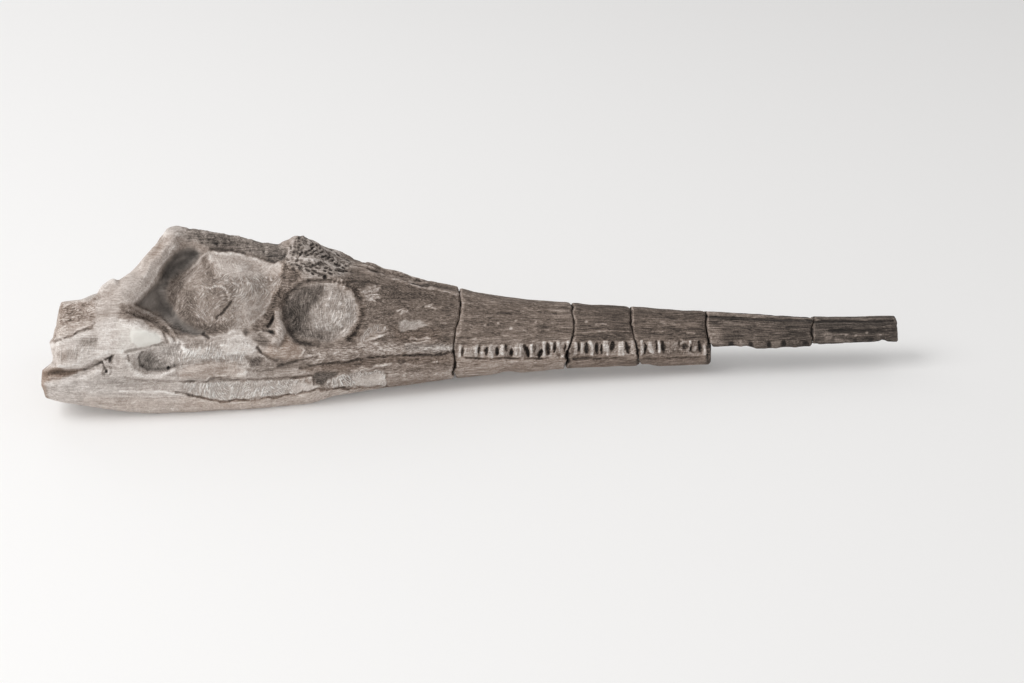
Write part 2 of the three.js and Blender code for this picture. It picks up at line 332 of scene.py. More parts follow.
@dataclass(frozen=True)
class Basin:
    """A hollow with an outline and sloping walls, or a raised patch where its depth is below zero."""

    outline: Course
    wall: float
    depth: float

    def depth_at(self, u: np.ndarray, v: np.ndarray) -> np.ndarray:
        """Depth in millimetres at each place in the frame."""
        return self.depth * smoothstep(depth_inside(u, v, self.outline), -self.wall * WALL_FOOT, self.wall)


@dataclass(frozen=True)
class Spot:
    """A rounded hollow, or a rounded lump where its depth is below zero."""

    u: float
    v: float
    ru: float
    rv: float
    depth: float
    turn: float = 0.0

    def depth_at(self, u: np.ndarray, v: np.ndarray) -> np.ndarray:
        """Depth in millimetres at each place in the frame.

        Args:
            u: Places across the frame.
            v: Places down the frame.

        Returns:
            The depths.
        """
        c, s = math.cos(math.radians(self.turn)), math.sin(math.radians(self.turn))
        a = ((u - self.u) * c + (v - self.v) * s) / self.ru
        b = ((v - self.v) * c - (u - self.u) * s) / self.rv
        return self.depth * (1 - smoothstep(np.hypot(a, b), SPOT_CORE, 1.0))


Stroke = Furrow | Basin | Spot


@dataclass(frozen=True)
class Nudge:
    """A small shift of the surface along the skull and down, which trims its outline."""

    course: Course
    width: float
    du: float
    dv: float

    def strength_at(self, u: np.ndarray, v: np.ndarray) -> np.ndarray:
        """How much of the shift each place in the frame takes, 0 to 1."""
        return 1 - smoothstep(distance_to_course(u, v, self.course), 0, self.width)


NUDGES = (
    Nudge((88, 296, 97, 296), 6, 0, 2), Nudge((102, 288, 112, 283), 8, 0, -4.5),
    Nudge((138, 266, 146, 254, 160, 238), 15, 0, 3.6), Nudge((297, 244, 304, 242, 316, 245), 22, 0, -5.6),
    Nudge((284, 246, 290, 245), 8, 0, -2.6), Nudge((354, 262, 362, 264, 370, 267), 17, 0, -4.6),
    Nudge((400, 272, 430, 280, 450, 285), 10, 0, 1),
    Nudge((335, 404, 350, 400, 370, 396, 400, 393, 430, 389, 456, 384, 500, 379), 26, 0, -4.5),
    Nudge((515, 377, 565, 373, 640, 371), 22, 0, -3.6), Nudge((650, 370, 708, 368), 18, 0, -2.4),
    Nudge((712, 352, 732, 352, 746, 351), 11, 0, -6), Nudge((755, 351, 780, 350, 812, 349), 8, 0, -2.6),
    Nudge((818, 349, 845, 348, 880, 347), 9, 0, -4.5), Nudge((884, 345, 894, 344), 6, 0, -2.6),
    Nudge((893, 319, 894, 322), 5, 2, 0), Nudge((893, 339, 894, 343), 6, 3.5, 0.5),
)


@dataclass(frozen=True)
class Wash:
    """A painted patch or line: what it changes, where, how much and how softly it ends."""

    coat: Coat
    shape: Course
    value: float
    soft: float = 3.0
    width: float = 0.0
    amount: float = 1.0

    def strength_at(self, u: np.ndarray, v: np.ndarray) -> np.ndarray:
        """How much of the wash lies at each place in the frame, 0 to 1.

        Args:
            u: Places across the frame.
            v: Places down the frame.

        Returns:
            The shares.
        """
        if self.width:
            away = distance_to_course(u, v, self.shape)
            return self.amount * (1 - smoothstep(away, LINE_CORE * self.width, self.width))
        return self.amount * smoothstep(depth_inside(u, v, self.shape), -self.soft, self.soft)


def patch(shape: Course, value: float, soft: float = 3.0, amount: float = 1.0, coat: Coat = TONE) -> Wash:
    """A painted patch, filled to its outline."""
    return Wash(coat, shape, value, soft, 0.0, amount)


def line(shape: Course, value: float, width: float, amount: float = 0.8, coat: Coat = TONE) -> Wash:
    """A painted line along a course."""
    return Wash(coat, shape, value, 0.0, width, amount)


def coats(shape: Course, *rows: tuple) -> list[Wash]:
    """Patches of one outline, one for each row: its coat, value and softness, and its amount if below 1."""
    return [patch(shape, value, soft, *amount, coat=coat) for coat, value, soft, *amount in rows]


MID_HEIGHT = 45  # height, in millimetres, about which the breaks lean and bow
BEND_LIMIT = 9  # the most that a break is bent, in millimetres
BEND_FADE = 3, 24  # how far from a break the bending fades, in millimetres


@dataclass(frozen=True)
class Fracture:
    """A break across the skull, as the solids have it and as it wanders when seen from the side.

    The gape gives half the open width, in millimetres, at places down the frame.
    """

    x: float
    lean: float
    bow: float
    course: Course
    gape: Course = ()

    def plane_x(self, z: np.ndarray) -> np.ndarray:
        """Where the solids' break lies along the skull at each height, in millimetres."""
        up = (z - MID_HEIGHT) / MID_HEIGHT
        return self.x + self.lean * (z - MID_HEIGHT) + self.bow * (up * up - 0.25) + self.bow * 0.6 * up

    def shift(self, points: np.ndarray, u: np.ndarray, v: np.ndarray) -> np.ndarray:
        """How far each point moves along the skull, in millimetres, to lay the break on its wandering course."""
        near = 1 - smoothstep(np.abs(points[:, 0] - self.plane_x(points[:, 2])), *BEND_FADE)
        return self.wander(points, u, v) * near

    def wander(self, points: np.ndarray, u: np.ndarray, v: np.ndarray) -> np.ndarray:
        """How far the wandering course lies from the solids' break at each point, in millimetres.

        Args:
            points: Positions in millimetres, N by 3.
            u: Their places across the frame.
            v: Their places down the frame.

        Returns:
            The distances along the skull.
        """
        across, down = self.course[::2], self.course[1::2]
        drift = np.interp(v, down, across) - (u + self.plane_x(points[:, 2]) - points[:, 0])
        return np.clip(drift, -BEND_LIMIT, BEND_LIMIT)

    def half_width(self, v: np.ndarray) -> np.ndarray:
        """Half the open width at places down the frame, in millimetres."""
        return np.interp(v, self.gape[::2], self.gape[1::2])


FRACTURES = (
    Fracture(-24.5, 0.08, 0, (459, 289, 460, 296, 461, 303, 460, 312, 459, 320, 456, 328, 455, 336, 454, 343, 453, 350,
        455, 358, 455, 366, 453, 373, 455, 379), (289, 0.3, 295, 0.8, 301, 1.6, 306, 0.8, 315, 0.4, 325, 0.2, 335, 0.7,
        345, 0.2, 352, 1, 376, 1.1, 380, 0.6)),
    Fracture(87.5, 0.05, -5, (573, 304, 572, 313, 574, 321, 574, 329, 573, 336, 571, 342, 568, 350, 567, 357, 568, 362,
        565, 367), (303, 0.4, 315, 0.5, 321, 1.4, 326, 0.6, 335, 0.6, 345, 1.2, 352, 2.4, 362, 2.2, 367, 0.8)),
    Fracture(148.5, -0.04, 4, (631, 307, 631, 316, 631, 325, 633, 332, 635, 340, 637, 348, 638, 356, 638, 363,
        640, 367), (307, 0.6, 325, 0.8, 333, 1.4, 340, 2, 348, 2.4, 358, 2, 364, 1)),
    Fracture(222.5, -0.03, 0, (706, 312, 706, 325, 707, 332, 708, 338, 709, 343, 711, 350, 711, 362),
        (316, 0.5, 325, 1, 332, 0.8, 338, 1.4, 345, 1.2, 365, 1.2)),
    Fracture(332.5, 0.01, 2, (814, 317, 814, 321, 812, 327, 811, 332, 813, 338, 812, 345),
        (317, 0.4, 325, 0.6, 329, 1.4, 333, 1.2, 338, 0.5, 345, 0.5)),
    Fracture(-417.5, 0, 0, (54, 300, 53, 305, 53, 312, 53.5, 322, 52, 328, 52, 337, 48, 342, 50, 350, 52, 361, 47, 366,
        41, 370, 40, 376, 41, 383, 43, 390, 44, 397)),
)


# ---- carving ----


class Clay:
    """A refined copy of one solid, open to carving and painting in the easel's frame."""

    # how far the surface turns toward the easel where it starts to be carved, and where it is carved in full
    facing_turn: Numbers = -0.15, 0.25
    # how far in from the middle the far side begins, in millimetres
    far_side: Numbers = 4, 25
    # how the far side's strokes drift: millimetres, waves per millimetre and phase, across and down
    far_drift: tuple[Numbers, ...] = (4, 0.031, 1), (2.5, 0.047, 2)
    # how soon, and how much, the carving fades where the far side is broken away
    broken_fade: Numbers = -10, 8
    broken_loss: float = 0.85
    # a unit down the frame lies this much flatter on the upright skull
    frame_tilt: float = 0.91
    # how the strokes' and washes' edges wander, across and down, and how uneven they are
    carved_edges: tuple[Noise, ...] = Noise(9, 3, 5), Noise(9, 3, 15)
    painted_edges: tuple[Noise, ...] = Noise(7, 3, 25), Noise(7, 3, 35)
    uneven_depth: Noise = Noise(13, 2, 19, 1, 0.45)
    uneven_paint: Noise = Noise(9, 3, 29, 0.9)
    paint_range: Numbers = 0.1, 1.2
    # how softly smoothing ends at its outline, in millimetres
    soften_edge: Numbers = -2, 5

    def __init__(self, piece: bpy.types.Object, easel: Easel, far_keep_from: float = -1e9) -> None:
        """Reads the mesh.

        Args:
            piece: The object to carve.
            easel: The frame that strokes are laid in.
            far_keep_from: Place along the skull, in millimetres, behind which the far side is broken
                away and takes little of the near side's carving.
        """
        self.piece, self.mesh, self.easel = piece, piece.data, easel
        self.far_keep_from = far_keep_from
        count = len(self.mesh.vertices)
        self.coats = {coat: np.zeros(count) for coat in Coat}
        edges = np.zeros(len(self.mesh.edges) * 2, np.int32)
        self.mesh.edges.foreach_get("vertices", edges)
        self.edges = edges.reshape(-1, 2)
        self.degree = np.bincount(self.edges.ravel(), minlength=count)[:, None].astype(float)
        self.read()

    def read(self) -> None:
        """Takes positions and normals from the mesh, and lays them into the frame."""
        flat = np.zeros(len(self.mesh.vertices) * 3, np.float32)
        self.mesh.vertices.foreach_get("co", flat)
        self.points = flat.reshape(-1, 3).astype(float) / MM
        self.mesh.vertex_normals.foreach_get("vector", flat)
        self.normals = flat.reshape(-1, 3).astype(float)
        self.place()

    def place(self) -> None:
        """Lays the points, mirrored to the near side, into the frame."""
        flip = np.where(self.points[:, 1:2] > 0, -1.0, 1.0)
        mirror = np.hstack([np.ones_like(flip), flip, np.ones_like(flip)])
        near = self.points * mirror
        self.u, self.v = self.easel.project(near * MM)
        toward = self.easel.axes()[0] / MM - near
        toward /= np.linalg.norm(toward, axis=1, keepdims=True)
        self.facing = smoothstep(np.sum(self.normals * mirror * toward, axis=1), *self.facing_turn)
        along, far = self.points[:, 0], smoothstep(self.points[:, 1], *self.far_side)
        drift = [far * size * np.sin(along * wave + phase) for size, wave, phase in self.far_drift]
        self.u, self.v = self.u + drift[0], self.v + drift[1]
        self.keep = 1 - self.broken_loss * (far * smoothstep(self.far_keep_from - along, *self.broken_fade))

    def write(self) -> None:
        """Puts the points back into the mesh and reads the new normals."""
        low, high = (np.array(corner) / MM for corner in CAD_BOX)
        self.points = np.clip(self.points, low, high)
        self.mesh.vertices.foreach_set("co", (self.points * MM).astype(np.float32).ravel())
        self.mesh.update()
        self.read()

    def nudge(self, nudges: tuple[Nudge, ...]) -> None:
        """Shifts the surface so that its outline falls where it should.

        Args:
            nudges: The shifts, in order.
        """
        for nudge in nudges:
            strength = nudge.strength_at(self.u, self.v) * self.keep
            self.points[:, 0] += strength * nudge.du
            self.points[:, 2] -= strength * nudge.dv / self.frame_tilt
        self.write()

    def carve(self, strokes: tuple[Stroke, ...], ragged: float = 0.0) -> None:
        """Cuts strokes into the surface.

        Args:
            strokes: The strokes, cut together.
            ragged: How far, in millimetres, the strokes' edges wander.
        """
        wander, wobble = (edge.at(self.points) * ragged for edge in self.carved_edges)
        depth = sum(s.depth_at(self.u + wander, self.v + wobble) for s in strokes)
        depth *= self.uneven_depth.at(self.points)
        self.points -= self.normals * (depth * self.facing * self.keep)[:, None]
        self.write()

    def soften(self, outline: Course, rounds: int) -> None:
        """Smooths the surface inside an outline.

        Args:
            outline: Corners of the closed outline.
            rounds: How many times each point takes its neighbours' mean.
        """
        inside = smoothstep(depth_inside(self.u, self.v, outline), *self.soften_edge) * self.facing
        self.points += (self.average(self.points, rounds) - self.points) * inside[:, None]
        self.write()

    def lift(self, height: np.ndarray) -> None:
        """Moves each point out along its normal by a height in millimetres."""
        self.points += self.normals * height[:, None]
        self.write()

    def part(self, fractures: tuple[Fracture, ...]) -> None:
        """Bends the break faces onto their wandering courses.

        Args:
            fractures: The breaks, in order.
        """
        for fracture in fractures:
            self.points[:, 0] += fracture.shift(self.points, self.u, self.v)
        self.write()

    def average(self, values: np.ndarray, rounds: int) -> np.ndarray:
        """Spreads values to neighbouring points.

        Args:
            values: One row for each point.
            rounds: How many times each point takes its neighbours' mean.

        Returns:
            The spread values.
        """
        a, b = self.edges.T
        for _ in range(rounds):
            total = np.zeros_like(values)
            for column in range(values.shape[1]):
                total[:, column] = np.bincount(a, values[b, column], len(values))
                total[:, column] += np.bincount(b, values[a, column], len(values))
            values = 0.5 * values + 0.5 * total / self.degree
        return values

    def hollowness(self, rounds: int) -> np.ndarray:
        """How far each point lies below its surroundings, smoothed in rounds, in millimetres."""
        smooth = self.average(self.points, rounds)
        return np.sum((smooth - self.points) * self.normals, axis=1)

    def paint(self, washes: tuple[Wash, ...], ragged: float = 2.0) -> None:
        """Lays washes over the coats, each over the last.

        Args:
            washes: The washes, in order.
            ragged: How far, in millimetres, their edges wander.
        """
        wander, wobble = (edge.at(self.points) * ragged for edge in self.painted_edges)
        patchy = np.clip(self.uneven_paint.at(self.points), *self.paint_range)
        for wash in washes:
            strength = wash.strength_at(self.u + wander, self.v + wobble) * self.keep
            if wash.width:
                strength = np.clip(strength * patchy, 0, 1)
            coat = self.coats[wash.coat]
            coat += (wash.value - coat) * strength

    def store(self) -> None:
        """Keeps the coats as attributes that the material reads."""
        for coat, values in self.coats.items():
            attribute = self.mesh.attributes.new(coat.value, "FLOAT", "POINT")
            attribute.data.foreach_set("value", np.clip(values, 0, 1).astype(np.float32))


# ---- the skull's regions: what is carved and painted on each ----


@dataclass(frozen=True)
class Region:
    """A part of the skull's surface: how it is carved and painted, and what is smoothed before the carving."""

    strokes: tuple[Stroke, ...]
    washes: tuple[Wash, ...]
    softened: tuple[tuple[Course, int], ...] = ()


def rear_plate() -> Region:
    """The flat bones behind the cheek, the jaw joint under them and the knob at its front.

    Returns:
        The region.
    """
    upper = (54, 304, 63, 300, 85, 298, 98, 295, 97, 312, 92, 327, 70, 336, 50, 341)
    rough = (62, 306, 84, 304, 95, 302, 92, 314, 84, 322, 64, 325)
    lower = (48, 343, 66, 339, 92, 329, 112, 318, 122, 340, 112, 356, 92, 366, 70, 371, 46, 368)
    rim = (58, 306, 57, 322, 54, 330, 51, 341)
    seam = (50, 343, 60, 339, 66, 337, 75, 333.5, 85, 330, 92, 326.5, 95, 323)
    gap = (40, 373, 52, 373, 64, 373, 75, 371.5, 84, 369, 92, 366.5, 101, 362.5, 112, 356)
    brown_band = (40, 368, 50, 366, 60, 369, 74, 370, 82, 370, 74, 375, 60, 379, 44, 382)
    knob_end = (38, 368, 47, 370, 46, 384, 49, 400, 40, 398)
    knob_wall = (103, 361, 109, 369)
    notch = (108, 358, 113, 355, 112, 364, 109, 363)
    strokes = (
        Furrow(seam, 2.2, 0.6), Furrow((50, 346, 70, 341.5, 90, 333), 4, -0.6), Furrow(gap, 4, 0.7),
        Furrow((84, 370, 92, 366.5, 101, 362.5, 112, 356), 2, 0.7),
        Furrow((40, 366, 60, 366, 78, 366, 92, 361, 106, 353), 4, -0.9),
        Furrow((42, 385, 62, 382, 84, 378, 100, 371), 5, -0.8), Furrow((61.5, 304, 62.5, 322), 3, 0.4),
        Furrow(knob_wall, 2.6, -1.4), Furrow((101.5, 363, 105, 369), 2, 1), Basin(notch, 2, 1.8),
        Spot(106.5, 371.5, 5, 5, -1.5), Spot(106, 371, 2.4, 2.4, 2.4), Spot(86, 344, 14, 5, 0.8, -20),
        Spot(66, 356, 14, 6, 0.5), Spot(94, 320, 8, 9, 1),
    )
    washes = (
        *coats(upper, (TONE, 0.69, 2.5), (WARM, 0.55, 4), (ROCK, 0, 4)),
        *coats(rough, (TONE, 0.54, 4), (GRAIN, 0.72, 4)), patch((70, 310, 84, 310, 84, 318, 68, 322), 0.46, 3, 0.6),
        patch((70, 322, 88, 318, 90, 326, 74, 331), 0.7, 3, 0.7),
        patch((88, 306, 97, 304, 98, 322, 88, 328), 0.64, 6, 0.8), line(rim, 0.62, 4.5), line(rim, 0.7, 6, coat=WARM),
        # the first line here is painted shadow beside the rim
        line((61.5, 303, 62, 314, 61, 323), 0.48, 2.4, 0.6), line((64, 306, 85, 304, 95, 299), 0.46, 2.2, 0.6),
        line((66, 309.5, 80, 308.5), 0.46, 1.8, 0.6), *coats(lower, (TONE, 0.77, 2.5), (WARM, 0.15, 3)),
        patch((52, 346, 66, 343, 66, 364, 54, 366), 0.5, 4, 0.6, coat=WARM),
        patch((80, 338, 98, 335, 98, 345, 82, 347), 0.58, 3, 0.7),
        patch((56, 352, 80, 350, 80, 360, 58, 362), 0.62, 3, 0.7),
        patch((56, 350, 98, 336, 98, 348, 80, 362, 56, 362), 0.5, 4, coat=HATCH), patch(lower, 0.8, 4, coat=UPRIGHT),
        # the first line here and the pale line after the seam are painted shade under the seam's step and a painted
        # highlight on the lower plate's edge
        line((52, 341, 62, 340.5), 0.45, 2.4), line(seam[4:], 0.4, 1.7, 0.7),
        line((51, 339, 66, 335, 84, 327), 0.74, 1.8), *coats(brown_band, (TONE, 0.47, 2), (WARM, 0.75, 2.5)),
        line((43, 372, 54, 373, 66, 372.5), 0.42, 3, 0.7), line((44, 378.5, 60, 376.5), 0.58, 2.2),
        # the notch's patch is painted shade
        line(gap[8:], 0.36, 1.4, 0.7), line((85, 366, 100, 360, 110, 354), 0.76, 2), patch(notch, 0.38, 1.2),
        line(knob_wall, 0.76, 2.6), line((101.5, 363, 104.5, 369), 0.42, 1.4),
        line(ring(106.5, 371.5, 4, 4), 0.45, 1.5), patch(ring(106, 371, 1.6, 1.8), 0.25, 0.8),
        line((108.5, 374, 110.5, 371), 0.78, 1.6), *coats(knob_end, (TONE, 0.52, 2), (WARM, 0.8, 3)),
    )
    return Region(strokes, washes)


def cheek_arcade() -> Region:
    """The strip of bone under the temporal opening, with the pit behind the cheek and a plaster patch.

    Returns:
        The region.
    """
    pit = (136, 353, 150, 348.5, 165, 345, 180, 342, 183, 350, 181, 363, 170, 371, 152, 370.5, 141, 368, 134, 360)
    hollow = (138, 356, 146, 352, 154, 352, 164, 358, 172, 364, 170, 370, 152, 370, 142, 367)
    plaster = (117, 322, 128, 327, 142, 329, 155, 332, 162, 338, 161, 344, 150, 346.5, 138, 348, 128, 351, 118, 352,
        121, 340)
    fresh_plaster = (131, 331, 145, 330, 155, 332.5, 161.5, 338, 160, 342.5, 150, 345, 139, 346.5, 131.5, 343,
        129.5, 337)
    strip = (120, 320, 150, 334, 175, 338, 205, 337, 240, 330, 262, 346, 256, 352, 262, 362, 250, 370, 225, 363,
        210, 362.5, 190, 366, 178, 368, 150, 346, 120, 354, 104, 352)
    lip = (127, 362, 131, 369, 138, 374.5, 150, 376.5, 160, 375.5, 170, 372, 180, 367)
    pit_back = (142, 352, 138.5, 358, 140.5, 365, 147, 369.5)
    pit_foot = (143, 366, 152, 369, 168, 368.5, 174, 366)
    plaster_foot = (125, 352, 136, 349, 150, 346.5, 165, 343)
    arch = (133, 306, 147, 313, 160, 319, 168, 327, 176, 337)
    nick = (163, 333, 168, 343)
    front_nick = (171, 331, 175, 341)
    flake = (218, 344, 234, 342, 256, 345, 258, 351, 244, 356, 224, 354)
    gash = (203, 333.5, 208, 338)
    ledge_foot = (206, 379.5, 210, 376, 225, 376)
    ledge = (178, 371, 190, 366, 210, 362.5, 225, 362.5, 238, 364, 247, 371, 244, 376, 225, 377.5, 205, 378, 180, 379)
    strokes = (
        Basin(hollow, 8, 1.2), Furrow(pit_back, 2.2, 0.6), Furrow(pit_foot, 3, 0.7), Spot(168, 367.5, 2.4, 2.4, 1.4),
        Furrow(lip, 4, -0.7), Furrow(plaster_foot, 3, 1), Basin(fresh_plaster, 3, -0.9), Furrow(arch, 2.6, -1.2),
        Furrow((120, 320, 140, 321, 152, 325, 160, 331, 164, 338), 2.6, -1),
        Furrow((127, 312, 143, 317, 156, 322, 166, 331), 2.6, 1), Furrow(nick, 2, 1), Furrow(front_nick, 2, 1),
        Furrow((176, 338, 190, 340, 206, 340, 222, 337, 238, 333), 3, 0.7), Basin(flake, 2, -0.7),
        Furrow(gash, 2.4, 1.4),
        Basin((178, 371, 190, 366, 210, 362.5, 225, 362.5, 238, 364, 250, 371, 246, 376, 225, 377.5, 205, 378,
            180, 379), 2, -0.7),
        Furrow((180, 365, 192, 362.5, 212, 360, 228, 361), 2.4, 0.6), Furrow(ledge_foot, 1.6, -0.6),
        Spot(255, 361, 9, 6, 0.9), Spot(264.5, 364, 5, 4.5, -1.2),
    )
    washes = (
        *coats(strip, (TONE, 0.785, 3), (WARM, 0.25, 4)), patch((184, 338, 226, 338, 226, 346, 184, 348), 0.6, 3),
        *coats((172, 343, 250, 343, 250, 362, 172, 364), (HATCH, 1, 7), (UPRIGHT, 1, 7)), patch(flake, 0.8, 2),
        patch((218, 344, 256, 345, 258, 351, 224, 354), 0.1, 2, coat=HATCH),
        *coats(pit, (TONE, 0.64, 8), (ROCK, 0.9, 5), (WARM, 0, 5), (HATCH, 0.6, 6)), patch(hollow, 0.61, 6),
        # the dark line on the pit's back wall, the line just inside it, and the two small dark holes below are painted
        # shade
        line(pit_back, 0.44, 2.4), line((150, 354, 148, 361, 151, 366), 0.48, 2), line(pit_foot, 0.44, 3.4),
        patch(ring(168, 367.5, 1.8, 1.8), 0.16, 1), patch(ring(177, 366, 2.6, 2), 0.34, 1.5),
        *(line((u, v, u + 11, v - 5), 0.72, 1.3) for u, v in ((150, 357), (154, 360), (159, 362), (163, 365),
            (166, 358))),
        line(lip, 0.78, 3.6, 0.9), line((126.5, 355, 127.5, 360), 0.42, 1.6),
        *coats(plaster, (TONE, 0.79, 5), (PLASTER, 0.3, 5)),
        *coats(fresh_plaster, (PLASTER, 0.9, 1.4), (TONE, 0.86, 1.6)), line(plaster_foot, 0.48, 2.2),
        line(nick, 0.46, 2.6), line(front_nick, 0.46, 2.4), line(arch, 0.62, 2.4), line(gash, 0.24, 2.6, 0.9),
        *coats(ledge, (TONE, 0.645, 1.8), (WARM, 0.55, 3), (HATCH, 0.05, 2)),
        patch((226, 365, 240, 366, 242, 371, 230, 371), 0.68, 2),
        patch((236, 364, 250, 371, 247, 376, 234, 376, 241, 371), 0.78, 1.5),
        patch((207, 380, 210, 376.5, 225, 376.5, 222, 380), 0.5, 1), line(ledge_foot, 0.8, 1.3),
        line((195, 382, 215, 382, 238, 381), 0.8, 1.4),
        *coats((246, 356, 262, 355, 266, 366, 250, 369), (TONE, 0.5, 3), (HATCH, 0.9, 3)),
        *coats(ring(264.5, 364, 4.5, 4), (TONE, 0.52, 1.5), (HATCH, 0.1, 1.5)),
    )
    return Region(strokes, washes)


def temporal_opening() -> Region:
    """The large opening behind the eye, its slanting rear bar, its crest, and the rock that fills it.

    Returns:
        The region.
    """
    bar_edge = (182, 239, 176, 244, 167, 255, 159, 268, 152, 281, 143, 293, 133, 304)
    upper_recess = (159, 281, 162, 269, 168, 260, 176, 251, 184, 248, 194, 248, 201, 253, 198, 260, 190, 267, 181, 273,
        171, 280, 164, 284)
    lower_recess = (131, 307, 142, 298, 152, 287, 160, 279, 168, 283, 165, 291, 168, 301, 176, 312, 183, 320, 192, 327,
        204, 332, 198, 336, 180, 334, 164, 326, 150, 317, 140, 312)
    top_shelf = (180, 243, 196, 241, 206, 244, 214, 250, 206, 255, 196, 249, 184, 249)
    bulge = (207, 250, 240, 253, 265, 259, 284, 264, 282, 280, 274, 302, 262, 316, 250, 326, 230, 331, 206, 332,
        188, 325, 175, 311, 166, 299, 168, 286, 186, 273, 199, 262)
    plateau = (208, 250, 222, 250, 240, 253, 264, 259, 284, 264, 283, 276, 262, 278, 236, 276, 214, 274, 208, 262)
    facet = (187, 272, 199, 262, 206, 256, 207, 268, 206, 280, 196, 290, 184, 288)
    crack = (232, 301, 228, 306, 223, 313, 217, 319)
    vein = (205, 288, 212, 290, 220, 286, 227, 292, 230, 300)
    rim = (119, 318, 133, 303, 159, 268, 182, 240, 207, 248, 240, 251, 265, 258, 284, 266, 275, 295, 270, 310,
        260, 325, 237, 330, 200, 338, 170, 335, 150, 323, 140, 320)
    bar = (182, 239, 176, 244, 167, 255, 159, 268, 152, 281, 143, 293, 133, 304, 112, 318, 96, 322, 100, 292, 128, 268,
        145, 246, 160, 230)
    strokes = (
        Basin(upper_recess, 8, 4.2), Basin(lower_recess, 7, 3.8), Basin(bulge, 14, -2.5), Spot(236, 300, 40, 34, -3),
        Spot(192, 300, 22, 26, -1.5, 20), Furrow(bar_edge, 3, -0.3),
        Furrow((212, 249, 222, 249, 232, 251, 240, 252, 248, 256, 262, 259, 275, 262), 3.6, 1.3),
        Furrow((206, 260, 207, 268, 211, 277, 216, 281), 5, 0.7), Basin(plateau, 4, -0.8),
        Furrow((188, 272, 199, 262, 206, 254), 3, -0.8), Furrow((211, 280, 236, 281, 260, 283, 276, 280), 5, 0.7),
        Furrow(crack, 2, 0.9), Furrow(vein, 2, -0.5), Furrow((186, 322, 196, 328, 208, 331, 226, 331), 5, 1),
        Spot(222, 294, 12, 10, 0.8), Spot(214, 318, 14, 8, 0.8), Spot(250, 312, 10, 12, -1, 30),
    )
    washes = (
        *coats(rim, (ROCK, 0.6, 3), (WARM, 0.4, 3), (TONE, 0.58, 3)),
        *coats(bulge, (TONE, 0.645, 2.5), (ROCK, 1, 3), (HATCH, 0.75, 4), (GRAIN, 0.55, 4)),
        # painted shadow cast by the rear bar on the left of the bulge
        patch((166, 292, 178, 280, 190, 282, 196, 300, 196, 322, 180, 318), 0.43, 9),
        *coats(facet, (TONE, 0.575, 3), (HATCH, 0.35, 3)),
        patch((208, 282, 236, 284, 234, 312, 216, 320, 204, 306), 0.53, 6),
        *coats(plateau, (TONE, 0.71, 2), (HATCH, 0.25, 3)),
        patch((212, 277, 284, 277, 276, 296, 244, 300, 214, 294), 1, 4, coat=HATCH),
        *coats((236, 306, 260, 292, 270, 302, 256, 324, 236, 326), (TONE, 0.66, 6), (HATCH, 0.4, 5)),
        # painted shade under the bulge
        patch((190, 318, 214, 324, 234, 320, 228, 332, 204, 335, 184, 330), 0.45, 5, 0.8),
        # the recesses' dark rock, deepened with painted shade; the next patch is painted shadow under the bar, in the
        # upper recess's corner
        patch(upper_recess, 0.43, 6), patch(lower_recess, 0.53, 6),
        patch((160, 280, 168, 268, 180, 262, 190, 254, 196, 258, 186, 268, 172, 280, 164, 288), 0.38, 4, 0.8),
        patch((158, 300, 166, 298, 178, 314, 188, 326, 172, 322), 0.45, 6),
        *coats(top_shelf, (TONE, 0.52, 3.5, 0.8), (WARM, 0.4, 3)),
        *(wash for recess in (upper_recess, lower_recess) for wash in coats(recess, (GRAIN, 0.14, 4),
            (HATCH, 0, 4), (ROCK, 0.8, 4), (WARM, 0, 4))),
        *coats(bar, (TONE, 0.71, 1.6), (GRAIN, 0.36, 4), (WARM, 0.4, 4), (ROCK, 0.3, 3)),
        patch((98, 292, 112, 284, 114, 300, 104, 318, 94, 320, 95, 304), 0.66, 4, 0.8),
        patch((172, 228, 182, 236, 168, 252, 158, 262, 152, 262, 162, 242), 0.66, 4, 0.7),
        patch((143, 262, 147, 248, 156, 238, 164, 238, 158, 254, 148, 266), 0.58, 3.5, 0.8),
        patch((152, 246, 164, 240, 160, 258, 148, 262), 0.7, 3, 0.6, coat=WARM), line(bar_edge, 0.8, 1.5, 0.6),
        line((185, 243, 196, 242.5, 206, 246, 212, 250), 0.62, 1.6),
        patch((207, 262, 213, 262, 216, 278, 214, 284, 206, 274), 0.46, 4, 0.9),
        line((188, 272, 199, 262, 205, 255), 0.66, 2.4),
        # painted shadow along the top of the plateau
        line((211, 249, 222, 249, 240, 252, 248, 256, 262, 259, 275, 262), 0.32, 2.4, 0.8),
        line((214, 252, 228, 252, 244, 256, 262, 261), 0.82, 2),
        # painted shade round the foot of the bulge
        patch((172, 298, 184, 304, 192, 318, 206, 326, 226, 329, 224, 336, 202, 340, 182, 336, 168, 326, 160, 312),
            0.44, 6, 0.8),
        line(crack, 0.26, 1.7, 0.95), line(vein, 0.76, 1.4), line((234, 300, 240, 292, 238, 286), 0.7, 1.4),
        patch((120, 303, 138, 304, 156, 312, 168, 322, 162, 334, 140, 322, 118, 320), 0.53, 3),
        patch((122, 309, 140, 309, 153, 316, 167, 326, 180, 334, 194, 336, 196, 341, 178, 340, 164, 334, 150, 323,
            128, 317), 0.48, 4, 0.9),
        patch((120, 300, 138, 304, 156, 312, 168, 322, 180, 334, 196, 338, 162, 338, 140, 322, 118, 320), 0.45,
            4, coat=WARM),
        patch((120, 304, 156, 312, 196, 336, 164, 334, 118, 320), 0.7, 4, coat=GRAIN),
        # painted shadow under the bulge's lower edge
        line((164, 329, 180, 336, 196, 338, 212, 336, 226, 334), 0.34, 3, 0.8),
        line((284, 266, 281, 282, 272, 301, 262, 314, 250, 326), 0.68, 3.6, 0.8),
        line((284, 262, 281, 282, 273, 298), 0.7, 4, coat=WARM),
    )
    softened = ((upper_recess, 60), (lower_recess, 60))
    return Region(strokes, washes, softened)


